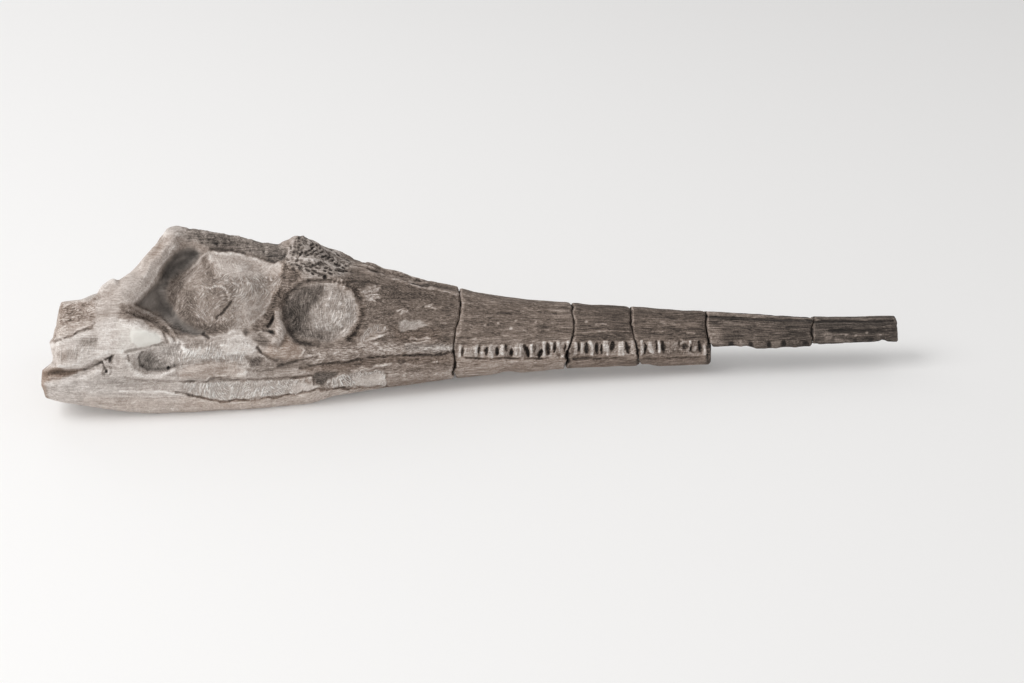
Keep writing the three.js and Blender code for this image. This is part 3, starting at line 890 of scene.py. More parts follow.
PIT_SEED = 7
FAN_CENTRE = 294.0, 263.0  # the eye's rear corner, from which the pits spread
FAN_RINGS, FAN_STEP, PIT_SPACING = 16, 4.1, 4.2
PIT_LENGTH, PIT_WIDTH, PIT_SHARE = (1.0, 2.6), (1.3, 1.9), 0.86
LONG_PITS_FROM, LONGER_BY = 14, 0.9


def lay_pits(pitted: Course, ridge: Course) -> list[tuple[Course, float]]:
    """Lays out the pits of the forehead, which lengthen and spread like a fan.

    Args:
        pitted: Outline of the pitted bone.
        ridge: Course that stays clear of pits.

    Returns:
        The course and width of each pit.
    """
    draw, found = np.random.default_rng(PIT_SEED), []
    for step in range(1, FAN_RINGS + 1):
        away = FAN_STEP * step
        count = max(6, round(2 * math.pi * away / PIT_SPACING))
        for turn in range(count):
            angle = 2 * math.pi * (turn + 0.5 * (step % 2) + draw.uniform(-0.25, 0.25)) / count
            long = draw.uniform(*PIT_LENGTH) + LONGER_BY * (away > LONG_PITS_FROM)
            place = away + draw.uniform(-1.0, 1.0)
            ends = [FAN_CENTRE[k] + (place + side * long) * turned
                for side in (-0.5, 0.5) for k, turned in enumerate((math.cos(angle), math.sin(angle)))]
            u, v = (np.array([(ends[k] + ends[k + 2]) / 2]) for k in (0, 1))
            width = draw.uniform(*PIT_WIDTH)
            inside = depth_inside(u, v, pitted)[0] > 1.0
            if inside and distance_to_course(u, v, ridge)[0] > 2.0 and draw.random() < PIT_SHARE:
                found.append((tuple(ends), width))
    return found


def crest_and_forehead() -> Region:
    """The top of the head: the crest between the openings and the pitted bone between the eyes.

    Returns:
        The region.
    """
    crest = (184, 224, 200, 226, 220, 230, 240, 235, 262, 241, 280, 244, 288, 250, 286, 262, 270, 261, 248, 255,
        240, 252, 222, 249, 212, 249, 205, 244, 196, 241, 186, 242)
    pitted = (286, 250, 292, 242, 300, 236, 312, 239, 322, 247, 337, 252, 352, 258, 358, 263, 352, 268, 346, 273,
        338, 277, 325, 277, 310, 276, 298, 274, 287, 270)
    ridge = (288, 257, 296, 258, 305, 259, 318, 260, 328, 263, 336, 268)
    crease = (352, 264, 366, 268, 380, 273)
    lower_crease = (346, 270, 362, 273, 382, 279)
    pits = lay_pits(pitted, ridge)
    strokes = (
        *(Furrow(pit, width, 1.2) for pit, width in pits), Furrow(ridge, 2.2, -0.7),
        Furrow((302, 237, 298, 243, 297, 250, 297, 255), 2.6, 1.6), Spot(164, 233, 6, 5, -1), Spot(176, 226, 9, 4, -1),
        Spot(189, 228, 4, 4, 1), Furrow((176, 232, 190, 233, 214, 236, 238, 241, 262, 246), 2.6, 0.5),
        Furrow((188, 240, 206, 241, 226, 243, 246, 248), 2.4, -0.4),
        *(Furrow((u, 230 + 0.17 * (u - 196), u + 3 * (-1) ** k, 243 + 0.16 * (u - 196)), 2.6, 0.4 * (-1) ** k)
            for k, u in enumerate((198, 207, 214, 223, 229, 238, 247, 252, 261, 269))),
        Spot(214, 242, 10, 4, 1, 4), Spot(301, 241, 14, 12, -5, 15), Spot(320, 247, 14, 8, -1.4, 25),
        Furrow((287, 249, 284, 256, 277, 260), 2.4, 1), Furrow(crease, 1.8, 0.6), Furrow(lower_crease, 1.8, 0.6),
        Furrow((340, 281, 358, 281, 380, 284), 2, 0.6),
    )
    washes = (
        *coats(crest, (TONE, 0.4, 2.5), (GRAIN, 0.75, 3), (HATCH, 0.2, 4), (UPRIGHT, 0.4, 3), (WARM, 0.2, 4)),
        patch((172, 224, 190, 226, 188, 236, 176, 246, 168, 240), 0.6, 3),
        patch((205, 234, 226, 236, 240, 242, 232, 248, 212, 246), 0.33, 3, 0.8),
        line((184, 226, 200, 227.5, 220, 232, 240, 236.5, 262, 242.5, 282, 246), 0.52, 2),
        line((190, 240, 206, 241, 214, 247), 0.52, 2.4),
        *coats(pitted, (TONE, 0.55, 3), (PITTED, 1, 2), (WARM, 0.25, 5)),
        # the pits are painted dark, as painted shade in their hollows
        *(line(pit, 0.24, width * 0.9, amount=1) for pit, width in pits), line(ridge, 0.63, 1.8),
        line((302, 237, 298, 243, 297, 254), 0.28, 2.2, 0.9),
        patch((350, 260, 368, 265, 384, 270, 398, 276, 388, 280, 366, 274, 350, 270), 0.5, 3),
        line((352, 259, 366, 264, 380, 269), 0.6, 2.4), line(crease, 0.38, 1.5), line(lower_crease, 0.4, 1.5),
        # painted shade under the ridge along the side of the head
        patch((336, 278, 352, 277, 372, 281, 366, 288, 352, 288), 0.34, 3),
    )
    return Region(strokes, washes)


def eye_socket() -> Region:
    """The eye socket with its dome of rock, and the bar of bone and small lumps behind it.

    Returns:
        The region.
    """
    dome = ring(322, 312, 36.5, 30, 8)
    rear_bar = (284, 262, 300, 272, 302, 280, 292, 288, 285, 298, 283, 310, 276, 313, 268, 328, 256, 332, 250, 330,
        262, 318, 272, 302, 280, 284)
    shade = (284, 305, 290, 292, 302, 285, 318, 284, 319, 292, 311, 306, 308, 320, 314, 336, 330, 342, 314, 346,
        298, 340, 287, 326)
    column = (275, 311.5, 278, 312, 281, 317, 284, 324, 286, 332, 285, 338, 281, 343, 277, 346, 272, 345, 271, 340,
        274, 336, 274, 328, 275, 320)
    lobe = (287, 337, 293, 341, 301, 345, 304, 350, 302, 356, 294, 359, 284, 360, 272, 357, 264, 352, 270, 346,
        280, 347)
    front_band = (347, 283, 355, 290, 360, 299, 363, 309, 361.5, 320, 357, 330, 350, 338)
    back_line = (308, 281, 297, 286.5, 288, 295, 284, 305, 285, 316, 288, 327, 294, 336, 302, 342, 318, 344)
    slit = (274, 312, 275, 318, 271, 325, 268, 329, 266, 327, 270, 319)
    cleft = (264, 330, 270, 331.5, 275, 334)
    lobe_back = (257, 348, 262, 354, 270, 358, 277, 362)
    lobe_foot = (277, 367, 290, 362, 303, 359.5, 318, 357)
    strokes = (
        Basin(dome, 12, -4), Spot(330, 311, 40, 36, -4, 8), Furrow((321, 286, 316, 296, 309, 306, 306, 314), 5, 0.8),
        Furrow(front_band, 5, 1.8), Furrow(back_line, 5, 1.8),
        Furrow((308, 281, 322, 280, 338, 281, 347, 284), 3, 1.4), Spot(325, 277, 3, 2.6, 1.8), Basin(rear_bar, 5, 1.2),
        Basin(slit, 1.6, 2.4), Furrow(cleft, 2.6, 1.6), Spot(246, 332, 4, 5, 0.6), Spot(260, 336, 5, 3, 0.7, 40),
        Basin(column, 5, -2.2), Spot(279, 341, 6, 6, -0.8), Basin(lobe, 5, -1.2),
        Furrow((303, 345, 304, 350, 301, 356), 2.4, -0.6), Furrow(lobe_back, 2.2, 0.8), Furrow(lobe_foot, 2.2, 0.7),
        Furrow((290, 266, 288, 276, 284, 288), 4, -0.7),
    )
    washes = (
        *coats(rear_bar, (TONE, 0.42, 2.5), (WARM, 0.5, 3), (GRAIN, 0.75, 3), (ROCK, 0.3, 3)),
        # the short dark line here is painted shadow in the hollow beside the bar
        patch((262, 316, 270, 312, 262, 328, 250, 331), 0.5, 2), line((276, 296, 274, 303), 0.3, 4),
        *coats(dome, (TONE, 0.66, 2.5), (ROCK, 1, 3), (HATCH, 0.34, 4), (UPRIGHT, 1, 3), (WARM, 0.22, 3),
            (GRAIN, 0.66, 4)),
        # the dome is painted paler on its right as painted light, darker on its upper left and left as painted shadow
        # cast by the bar, with a painted shading edge between, and the dark bands round its rim are painted shade
        line((349, 296, 353, 306, 353, 318, 347, 330), 0.7, 7, 0.7),
        patch((292, 284, 320, 282, 322, 292, 312, 310, 296, 312), 0.56, 10), patch(shade, 0.4, 9, 0.85),
        patch((284, 306, 292, 302, 298, 320, 304, 338, 292, 334), 0.34, 6),
        line((321, 287, 316, 296, 309, 306, 307, 312), 0.42, 4, 0.4),
        patch((304, 328, 330, 334, 345, 336, 330, 342, 306, 342), 0.5, 4, 0.7), line(front_band, 0.3, 6.4, 1),
        line(front_band, 0.6, 7, coat=WARM), line(front_band, 0.9, 7, coat=GRAIN), line(back_line, 0.3, 5, 0.7),
        line((318, 344, 334, 344, 347, 341), 0.38, 3, 0.7), line((308, 281, 322, 280.5, 338, 282), 0.34, 3, 0.7),
        patch(ring(325, 277, 2.4, 2.2), 0.22, 1),
        *(line((u, 288, u + 3.5, 280), 0.66, 1.3, amount=0.8) for u in (331, 335, 339, 343)), patch(slit, 0.24, 1.2),
        line(cleft, 0.24, 2.4, 0.95), patch(ring(246, 332, 3.5, 4), 0.42, 2.5), line((257, 333, 263, 338), 0.38, 2.4),
        patch((252, 338, 268, 338, 270, 344, 258, 346), 0.42, 2.5),
        *coats(column, (TONE, 0.62, 1.8), (ROCK, 0.6, 2), (HATCH, 0.5, 2), (WARM, 0.4, 2)),
        patch((275, 312, 281, 316, 281, 324, 275, 324), 0.54, 2), patch(ring(267.5, 335.5, 3, 2.6), 0.62, 1.5),
        *coats(lobe, (TONE, 0.57, 2), (WARM, 0.8, 3)), line((302, 346, 303.5, 351, 299, 356, 292, 357), 0.74, 1.8),
        line(lobe_back, 0.35, 2), line((259, 353, 267, 359, 272, 365), 0.76, 1.6), line(lobe_foot, 0.34, 2),
    )
    softened = (((262, 262, 298, 262, 298, 284, 286, 300, 286, 350, 256, 350, 256, 326), 80), (dome, 60))
    return Region(strokes, washes, softened)


def muzzle() -> Region:
    """The long side of the muzzle in front of the eye, where the jaws meet.

    Returns:
        The region.
    """
    jaw_line = (300, 368, 322, 363.5, 340, 362, 352, 361, 370, 357.5, 385, 356, 405, 355.5, 430, 355, 446, 353.5,
        456, 352)
    groove = (368, 267, 380, 272, 395, 277, 408, 281, 420, 285, 428, 287.5)
    keel = (366, 270, 382, 275, 400, 280.5, 420, 286.5, 440, 290.5, 458, 294)
    gum = (303, 352, 340, 347, 370, 344, 404, 344, 430, 343, 456, 344, 456, 352, 430, 354, 400, 355, 370, 356.5,
        340, 360.5, 306, 364)
    under = (300, 369, 322, 364, 352, 361, 370, 358, 405, 356, 456, 354, 456, 364, 400, 363, 372, 365, 340, 371,
        318, 371)
    flakes = (
        (357, 338, 362, 333, 370, 327, 378, 322, 386, 326, 387, 330, 378, 335, 366, 339, 358, 342),
        (398, 328, 400, 323, 408, 320.5, 420, 320, 430, 324, 424, 327, 412, 329, 402, 331),
    )
    rays = (
        (362, 293, 368, 289, 376, 286), (363, 295, 372, 290.5, 380, 288), (364, 297, 378, 294),
        (363, 300, 370, 300, 376, 301), (371, 299, 379, 297),
    )
    scars = (
        (400, 314, 407, 311.5), (425, 306.5, 431, 307, 436, 309), (430, 305, 433, 303.5), (440, 322.5, 447, 322.5),
        (396, 311, 403, 309.5), (352, 347, 366, 344, 380, 343), (358, 344, 374, 339, 387, 334.5),
        (405, 345, 418, 342, 436, 340), (412, 339, 430, 338),
    )
    jaw_edge = (352, 371, 370, 368.5, 381, 365.5, 391, 364)
    blue = (402, 346, 420, 344, 440, 343.5, 455, 345.5, 452, 351.5, 430, 353, 404, 352.5)
    strokes = (
        Furrow(jaw_line, 2.2, 0.6), Furrow((300, 360, 340, 354, 380, 351, 420, 350, 456, 349), 5, -0.7),
        Furrow(groove, 2.6, 1.8), Furrow(keel, 2.4, -0.9),
        Furrow((352, 348, 372, 342, 392, 338, 416, 336, 440, 336), 3, 0.4),
        Furrow((374, 316, 396, 312, 420, 310, 450, 310), 2.6, 0.3),
        Furrow((366, 302, 390, 298, 420, 298, 452, 300), 2.2, 0.4), *(Furrow(scar, 1.8, -0.4) for scar in scars),
        *(Furrow(ray, 1.8, -0.4) for ray in rays), Basin(flakes[0], 2, 0.6), Basin(flakes[1], 2, 0.5),
        Furrow(jaw_edge, 2, -0.6), Furrow((395, 351, 410, 349, 432, 350), 3, 0.5), Spot(442, 348, 9, 3, -0.6),
    )
    washes = (
        # painted shade under the keel
        patch((380, 284, 400, 284, 440, 294, 440, 302, 400, 300, 382, 296), 0.36, 4),
        patch((394, 328, 440, 328, 442, 340, 396, 342), 0.6, 4, coat=WARM),
        *coats(gum, (TONE, 0.58, 2.5), (GRAIN, 0.7, 3)), *coats(blue, (TONE, 0.56, 3), (WARM, 0.2, 2)),
        patch((434, 346, 448, 346, 450, 350, 436, 351), 0.62, 1.5), *coats(under, (TONE, 0.45, 1.5), (WARM, 0.6, 3)),
        line(jaw_line, 0.27, 1.6, 0.85), patch((384, 273, 408, 280, 428, 287, 420, 288, 400, 282), 0.34, 1.5),
        line(groove, 0.24, 2.4, 0.9), line(keel, 0.6, 1.7, 0.9),
        patch((360, 290, 370, 286, 380, 287, 378, 300, 364, 302), 0.55, 3),
        *(line(ray, 0.74, 1.7, amount=0.9) for ray in rays), *(line(scar, 0.72, 1.6, amount=0.85) for scar in scars),
        *coats(flakes[0], (TONE, 0.7, 1.5), (HATCH, 1, 1.5), (ROCK, 1, 1.5), (UPRIGHT, 0.8, 1.5)),
        *coats(flakes[1], (TONE, 0.67, 1.8), (GRAIN, 0.4, 1.5), (WARM, 0.2, 1.5), (ROCK, 0.6, 1.5), (HATCH, 0.4, 1.5)),
        line((400, 332, 414, 330.5, 428, 327), 0.32, 1.8), line(jaw_edge, 0.78, 1.9, 0.9),
        line((392, 365.5, 420, 365, 454, 367), 0.57, 3),
        *(patch(ring(u, v, 1, 0.9), 0.86, 0.6) for u, v in ((434, 361), (437, 361), (360, 361))),
    )
    return Region(strokes, washes)


def lower_jaw() -> Region:
    """The long lower jaw with its two rock-filled windows and the ledge above them.

    Returns:
        The region.
    """
    rear_window = (183, 383, 200, 383, 240, 381, 285, 379.5, 313, 377, 315, 384, 318, 389, 300, 393, 262, 397.5,
        230, 400, 212, 399, 195, 396, 186, 391)
    front_window = (324, 386, 330, 380, 340, 375, 352, 373, 366, 371, 384, 369, 385.5, 376, 385.5, 386, 360, 386,
        336, 388)
    between = (314, 372, 322, 370.5, 341, 370.5, 338, 375, 330, 380, 322, 386.5, 316, 384)
    lower_line = (174, 392, 190, 395.5, 205, 399, 220, 401, 245, 400, 262, 398.5, 285, 395.5, 318, 390, 360, 387.5,
        386, 387)
    rear_ridge = (120, 391, 165, 392, 185, 395)
    window_corner = (294, 378, 313.5, 376.5, 314, 384)
    smooth = ((290, 385, 300, 384, 318, 383, 319, 389.5, 300, 392, 292, 391), (352, 375, 384, 373, 385, 385,
        356, 385.5))
    strokes = (
        Furrow((125, 378, 150, 381, 180, 381, 200, 382, 240, 380, 280, 378.5, 312, 375.5), 2.2, 0.7),
        Furrow(lower_line, 2.2, 0.8), Furrow(rear_ridge, 1.8, -0.5),
        Furrow((240, 369, 262, 371, 290, 367, 310, 363), 2.2, 0.6),
        Furrow((60, 392, 110, 398, 150, 399, 180, 398), 2.6, 0.3), Furrow((392, 372, 420, 371, 455, 372), 2.4, 0.5),
        Basin(between, 2, 0.7), Basin((290, 385, 318, 383, 318, 390, 296, 392), 2, 0.5),
        Furrow((386.5, 374, 386.5, 387), 1.8, 0.7), Furrow(window_corner, 1.6, 0.6),
        Furrow((60, 400, 110, 407, 160, 410, 230, 408, 300, 401, 380, 389, 455, 378), 3, -0.5),
    )
    washes = (
        patch((46, 378, 110, 372, 180, 380, 182, 396, 110, 392, 50, 392), 0.72, 4),
        patch((46, 378, 120, 374, 140, 386, 110, 396, 48, 392), 0, 6, coat=WARM),
        patch((50, 392, 110, 393, 180, 398, 180, 414, 110, 412, 50, 402), 0.735, 3),
        patch((84, 396, 190, 398, 190, 414, 84, 412), 0.5, 6, coat=WARM),
        patch((100, 376, 180, 381, 180, 388, 110, 386), 0.64, 3, 0.7),
        patch((180, 398, 260, 397, 330, 388, 400, 376, 456, 372, 456, 392, 300, 410, 180, 416), 0.72, 3),
        patch((386, 370, 456, 368, 456, 384, 386, 390), 0.58, 3),
        patch((180, 398, 300, 392, 456, 374, 456, 386, 300, 412, 180, 416), 0.65, 4, coat=WARM),
        patch((250, 370, 300, 366, 314, 371, 312, 376, 250, 379), 0.6, 2),
        patch((262, 372, 304, 369, 306, 374, 262, 377), 0.62, 2),
        *(wash for window in (rear_window, front_window) for wash in coats(window, (TONE, 0.78, 1.6),
            (ROCK, 1, 1.6), (HATCH, 1, 1.6), (WARM, 0.3, 1.6))),
        patch((183, 383, 214, 382, 214, 399, 186, 393), 1, 4, coat=UPRIGHT), patch(front_window, 0.9, 2, coat=GRAIN),
        *(wash for shape in smooth for wash in coats(shape, (TONE, 0.77, 1.6), (HATCH, 0.3, 1.6), (GRAIN, 0.45, 1.6),
            (WARM, 0.3, 1.6))),
        *coats(between, (TONE, 0.37, 1.4), (WARM, 0.25, 2)),
        *coats((294, 378, 313, 377, 313.5, 383, 300, 383.5), (TONE, 0.7, 1.2), (WARM, 0.6, 2)),
        line(rear_ridge, 0.8, 1.5, 0.9), line((180, 381.5, 200, 382, 240, 380, 280, 378.5, 312, 375.5), 0.42, 1.6),
        line(lower_line, 0.38, 1.7, 0.85), line(window_corner, 0.36, 1.3), line((294, 379.5, 312, 378.5), 0.82, 1.2),
        line((326, 386, 352, 386.5, 385, 387), 0.62, 1.6), line((200, 404, 230, 405, 262, 402), 0.9, 3, coat=WARM),
    )
    return Region(strokes, washes)


@contextmanager
def editing(start: str = "", kind: str = "") -> Iterator[None]:
    """Edit mode on the active mesh, for as long as the block lasts.

    Args:
        start: "SELECT" or "DESELECT", which is done to the whole mesh first, or nothing.
        kind: "EDGE" or "FACE", which is what gets selected from then on, or nothing.

    Yields:
        Nothing.
    """
    bpy.ops.object.mode_set(mode="EDIT")
    if kind:
        bpy.ops.mesh.select_mode(type=kind)
    if start:
        bpy.ops.mesh.select_all(action=start)
    yield
    bpy.ops.object.mode_set(mode="OBJECT")


# ---- the pieces ----


@dataclass
class FossilPiece:
    """One fitted piece: a copy of its solid is refined, carved, painted and finished."""

    # low relief of split, fibrous bone
    fibre_stretch: ClassVar[np.ndarray] = np.array([0.14, 1.0, 1.0])
    fibres: ClassVar[Noise] = Noise(3.6, 2, 41)
    splits: ClassVar[Noise] = Noise(6.0, 2, 44)
    split_depth: ClassVar[float] = 0.12
    split_slope: ClassVar[float] = 6
    lumps: ClassVar[Noise] = Noise(17, 3, 51)
    rough: ClassVar[Noise] = Noise(6.5, 2, 57)
    # their heights in millimetres; rock is rougher than bone by the last, and hides this share of the fibres
    heights: ClassVar[Numbers] = 0.30, 0.22, 0.5, 0.15, 0.25
    rock_hides: ClassVar[float] = 0.8
    # crumbled edges of the breaks
    crack_chips: ClassVar[Noise] = Noise(6, 2, 61, 0.9, 1.1)
    crack_edge: ClassVar[Noise] = Noise(3.4, 2, 71, 0, 1.3)
    crack_width: ClassVar[Noise] = Noise(8, 2, 81, 0.75, 1.3)
    chip_range: ClassVar[Numbers] = 0.25, 2.0
    width_range: ClassVar[Numbers] = 0.1, 1.5
    # how far chips reach past a crack's side, and their depth: at least, and more for each millimetre of half width
    chip_reach: ClassVar[Numbers] = 0.2, 1.2
    chip_depth: ClassVar[Numbers] = 0.5, 0.45
    # a lip's place ahead of the crack's side and its width, and how its strength follows the chips; the lip is chipped
    # bone painted pale, a painted highlight where it faces the key lamp
    lip_place: ClassVar[Numbers] = 1.4, 0.8
    lip_strength: ClassVar[Numbers] = 0.7, 0.2, 0.9
    # where the painted shade in a crack starts and stops fading: share of the half width, and millimetres more
    dark_core: ClassVar[Numbers] = 0.6, -0.4
    dark_edge: ClassVar[Numbers] = 0.8, 0.7
    narrowest_dark: ClassVar[float] = 0.5
    # how far a surface has turned from the skull's sides: where it stops swelling, chipping, and is a break face
    swell_turn: ClassVar[Numbers] = 0.4, 0.8
    chip_turn: ClassVar[Numbers] = 0.5, 0.8
    face_turn: ClassVar[Numbers] = 0.75, 0.92
    face_reach: ClassVar[Numbers] = 6, 12
    # how fast hollows are darkened with painted shade by their depth, and the most that they pale or darken: fine,
    # then broad ones
    shades: ClassVar[tuple[tuple, ...]] = ((0.28, -0.06, 0.11), (0.045, -0.05, 0.10))
    # colours of a break face, its chipped lip with its painted highlight, and the painted shade inside a crack
    core_coats: ClassVar[tuple[tuple, ...]] = ((TONE, 0.50), (WARM, 0.55), (ROCK, 0.8))
    lit_lip_tone: ClassVar[float] = 0.62
    crack_shade_tone: ClassVar[float] = 0.10
    # creases stay this sharp, and lie this near to the ends, in metres
    crease: ClassVar[float] = 0.9
    crease_reach: ClassVar[float] = 0.012
    crease_angle: ClassVar[float] = 28
    merge_within: ClassVar[float] = 0.00002
    # the finer near side: how far past the middle, in millimetres, and how far turned away
    near_side: ClassVar[float] = 12
    near_turn: ClassVar[float] = -0.05
    # rounds of smoothing that the copy starts with
    settle_rounds: ClassVar[int] = 2

    node: str
    easel: Easel
    voxel_mm: float = 0.8
    round_over: int = 2
    swell_mm: float = 0.6
    finer_near: bool = False
    grain: float = 0.5
    upright: float = 0.3
    hollow_rounds: tuple[int, int] = (4, 24)
    base_tone: Course = (0, 0.42, 1024, 0.42)
    base_scrape: Course = (0, 0.0, 1024, 0.0)
    base_warm: Course = (0, 0.35, 1024, 0.35)
    fractures: tuple[Fracture, ...] = FRACTURES
    far_keep_from: float = -1e9
    piece: bpy.types.Object | None = field(default=None, init=False)

    def refine(self) -> bpy.types.Object:
        """Copies the solid, merges its triangles, rounds its facets and gives it an even, fine mesh.

        Returns:
            The new object, at the origin.
        """
        bpy.ops.object.select_all(action="DESELECT")
        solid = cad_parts[self.node]
        solid.select_set(True)
        bpy.context.view_layer.objects.active = solid
        bpy.ops.object.duplicate()
        piece = self.piece = bpy.context.view_layer.objects.active
        piece.name = piece.data.name = self.node + "_fossil"
        with editing("SELECT"):
            bpy.ops.mesh.remove_doubles(threshold=self.merge_within)
            bpy.ops.mesh.tris_convert_to_quads()
            bpy.ops.mesh.select_all(action="DESELECT")
            bpy.ops.mesh.edges_select_sharp(sharpness=math.radians(self.crease_angle))
        along = [vertex.co.x for vertex in piece.data.vertices]
        ends = min(along), max(along)
        for edge in piece.data.edges:
            reach = min(max(abs(along[v] - end) for v in edge.vertices) for end in ends)
            edge.select = edge.select and reach < self.crease_reach
        with editing(kind="EDGE"):
            bpy.ops.transform.edge_crease(value=self.crease)
            bpy.ops.mesh.select_all(action="DESELECT")
        rounding = piece.modifiers.new("rounding", "SUBSURF")
        rounding.levels = self.round_over
        bpy.ops.object.modifier_apply(modifier=rounding.name)
        evening = piece.modifiers.new("evening", "REMESH")
        evening.mode, evening.voxel_size = "VOXEL", self.voxel_mm * MM
        bpy.ops.object.modifier_apply(modifier=evening.name)
        if self.finer_near:
            self.refine_near_side(piece)
        bpy.ops.object.shade_smooth()
        return piece

    def refine_near_side(self, piece: bpy.types.Object) -> None:
        """Halves the mesh size where the piece turns toward the easel.

        Args:
            piece: The evenly meshed copy.
        """
        with editing("DESELECT", "FACE"):
            pass
        faces = piece.data.polygons
        centre, normal = np.zeros(len(faces) * 3, np.float32), np.zeros(len(faces) * 3, np.float32)
        faces.foreach_get("center", centre)
        faces.foreach_get("normal", normal)
        centre, normal = centre.reshape(-1, 3), normal.reshape(-1, 3)
        toward = self.easel.axes()[0] - centre
        toward /= np.linalg.norm(toward, axis=1, keepdims=True)
        near = (centre[:, 1] < self.near_side * MM) & (np.sum(normal * toward, axis=1) > self.near_turn)
        faces.foreach_set("select", near)
        with editing():
            bpy.ops.mesh.subdivide(number_cuts=1)
            bpy.ops.mesh.select_all(action="DESELECT")

    def roughen(self, clay: Clay) -> None:
        """Adds the low relief of split, fibrous bone.

        Args:
            clay: The piece being carved.
        """
        fibre_mm, split_mm, lump_mm, rough_mm, rock_mm = self.heights
        stretched, rock, depth = clay.points * self.fibre_stretch, clay.coats[ROCK], self.split_depth
        fibres = self.fibres.at(stretched) * fibre_mm
        splits = np.clip(np.abs(self.splits.at(stretched)) - depth, -depth, 0) * self.split_slope * split_mm
        lumps = self.lumps.at(clay.points) * lump_mm
        rough = self.rough.at(clay.points) * (rough_mm + rock_mm * rock)
        clay.lift((fibres + splits) * (1 - self.rock_hides * rock) + lumps + rough)

    def chip_breaks(self, clay: Clay) -> None:
        """Crumbles the edges of the break faces, paints shade into the cracks and paints a highlight onto their
        chipped front lips.

        Args:
            clay: The piece being carved.
        """
        tone, (near, far), (least, more) = clay.coats[TONE], self.chip_reach, self.chip_depth
        (lip_ahead, lip_width), (gain, loss, most) = self.lip_place, self.lip_strength
        (core, within), (edge, beyond) = self.dark_core, self.dark_edge
        for number, fracture in enumerate(self.fractures):
            ahead = clay.points[:, 0] - fracture.plane_x(clay.points[:, 2])
            ahead -= fracture.wander(clay.points, clay.u, clay.v)
            ahead += self.crack_edge.at(clay.points, number)
            away = np.abs(ahead)
            chips = self.crack_chips.at(clay.points, number)
            uneven = np.clip(self.crack_width.at(clay.points, number), *self.width_range)
            half = fracture.half_width(clay.v) * uneven if fracture.gape else np.ones(len(away))
            cut = np.clip(chips, *self.chip_range) * (1 - smoothstep(away, near, half + far)) * (least + more * half)
            across = 1 - smoothstep(np.abs(clay.normals[:, 0]), *self.chip_turn)
            clay.points -= clay.normals * (cut * across)[:, None]
            if fracture.gape:
                # the chipped lip ahead of each crack is paled: a painted highlight on bone that faces the key lamp
                lip = np.exp(-(((ahead - half - lip_ahead) / lip_width) ** 2)) * np.clip(chips * gain - loss, 0, most)
                tone += (self.lit_lip_tone - tone) * lip
                # painted shade inside the open crack
                inside = 1 - smoothstep(away, half * core + within, half * edge + beyond)
                tone += (self.crack_shade_tone - tone) * inside * np.clip(self.narrowest_dark + half, 0, 1)
        clay.write()

    def carve(self, clay: Clay) -> None:
        """Carves what only this piece has."""

    def paint(self, clay: Clay) -> None:
        """Paints what only this piece has."""

    def shade_hollows(self, clay: Clay) -> None:
        """Darkens what lies deep with painted shade, where dust and shadow gather, and pales what stands out, as
        painted light and wear.

        Args:
            clay: The piece being painted.
        """
        tone = clay.coats[TONE]
        # painted shade in the hollows, and painted light on what stands out
        tone -= sum(np.clip(clay.hollowness(rounds) * gain, palest, darkest)
            for rounds, (gain, palest, darkest) in zip(self.hollow_rounds, self.shades))

    def dress_breaks(self, clay: Clay) -> None:
        """Gives the break faces a rock core and a rim of brown bone.

        Args:
            clay: The piece being painted.
        """
        along = clay.points[:, 0:1]
        away = np.min(np.abs(along - np.array([along.min(), along.max()])), axis=1)
        face = smoothstep(np.abs(clay.normals[:, 0]), *self.face_turn) * (1 - smoothstep(away, *self.face_reach))
        for coat, value in self.core_coats:
            clay.coats[coat] += (value - clay.coats[coat]) * face

    def build(self) -> bpy.types.Object:
        """Makes the whole piece.

        Returns:
            The finished mesh, not yet given its material.
        """
        piece = self.refine()
        clay = Clay(piece, self.easel, self.far_keep_from)
        clay.points = clay.average(clay.points, self.settle_rounds)
        side = 1 - smoothstep(np.abs(clay.normals[:, 0:1]), *self.swell_turn)
        clay.points += clay.normals * self.swell_mm * side
        clay.write()
        clay.part(self.fractures)
        clay.nudge(NUDGES)
        self.carve(clay)
        for coat, stops in ((TONE, self.base_tone), (ROCK, self.base_scrape), (WARM, self.base_warm)):
            clay.coats[coat] = np.interp(clay.u, stops[::2], stops[1::2])
        clay.coats[GRAIN] += self.grain
        clay.coats[UPRIGHT] += self.upright
        self.dress_breaks(clay)
        self.paint(clay)
        self.roughen(clay)
        self.chip_breaks(clay)
        self.shade_hollows(clay)
        clay.store()
        return piece

    def dress(self, finish: bpy.types.Material) -> None:
        """Gives the piece its finish and tells the frame what it stands for.

        Args:
            finish: The material.
        """
        self.piece.data.materials.clear()
        self.piece.data.materials.append(finish)
        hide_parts(self.node)
        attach(self.piece, "root")
        LOG.info("%s: %d faces", self.piece.name, len(self.piece.data.polygons))


@dataclass
class SkullBlock(FossilPiece):
    """The back half of the skull with the rear of the lower jaw."""

    regions: tuple[Region, ...] = (
        lower_jaw(), muzzle(), rear_plate(), temporal_opening(), crest_and_forehead(), cheek_arcade(), eye_socket())

    def carve(self, clay: Clay) -> None:
        """Carves every region.

        Args:
            clay: The piece being carved.
        """
        for region in self.regions:
            for outline, rounds in region.softened:
                clay.soften(outline, rounds)
            clay.carve(region.strokes, ragged=1.2)

    def paint(self, clay: Clay) -> None:
        """Paints every region."""
        for region in self.regions:
            clay.paint(region.washes, ragged=2.6)


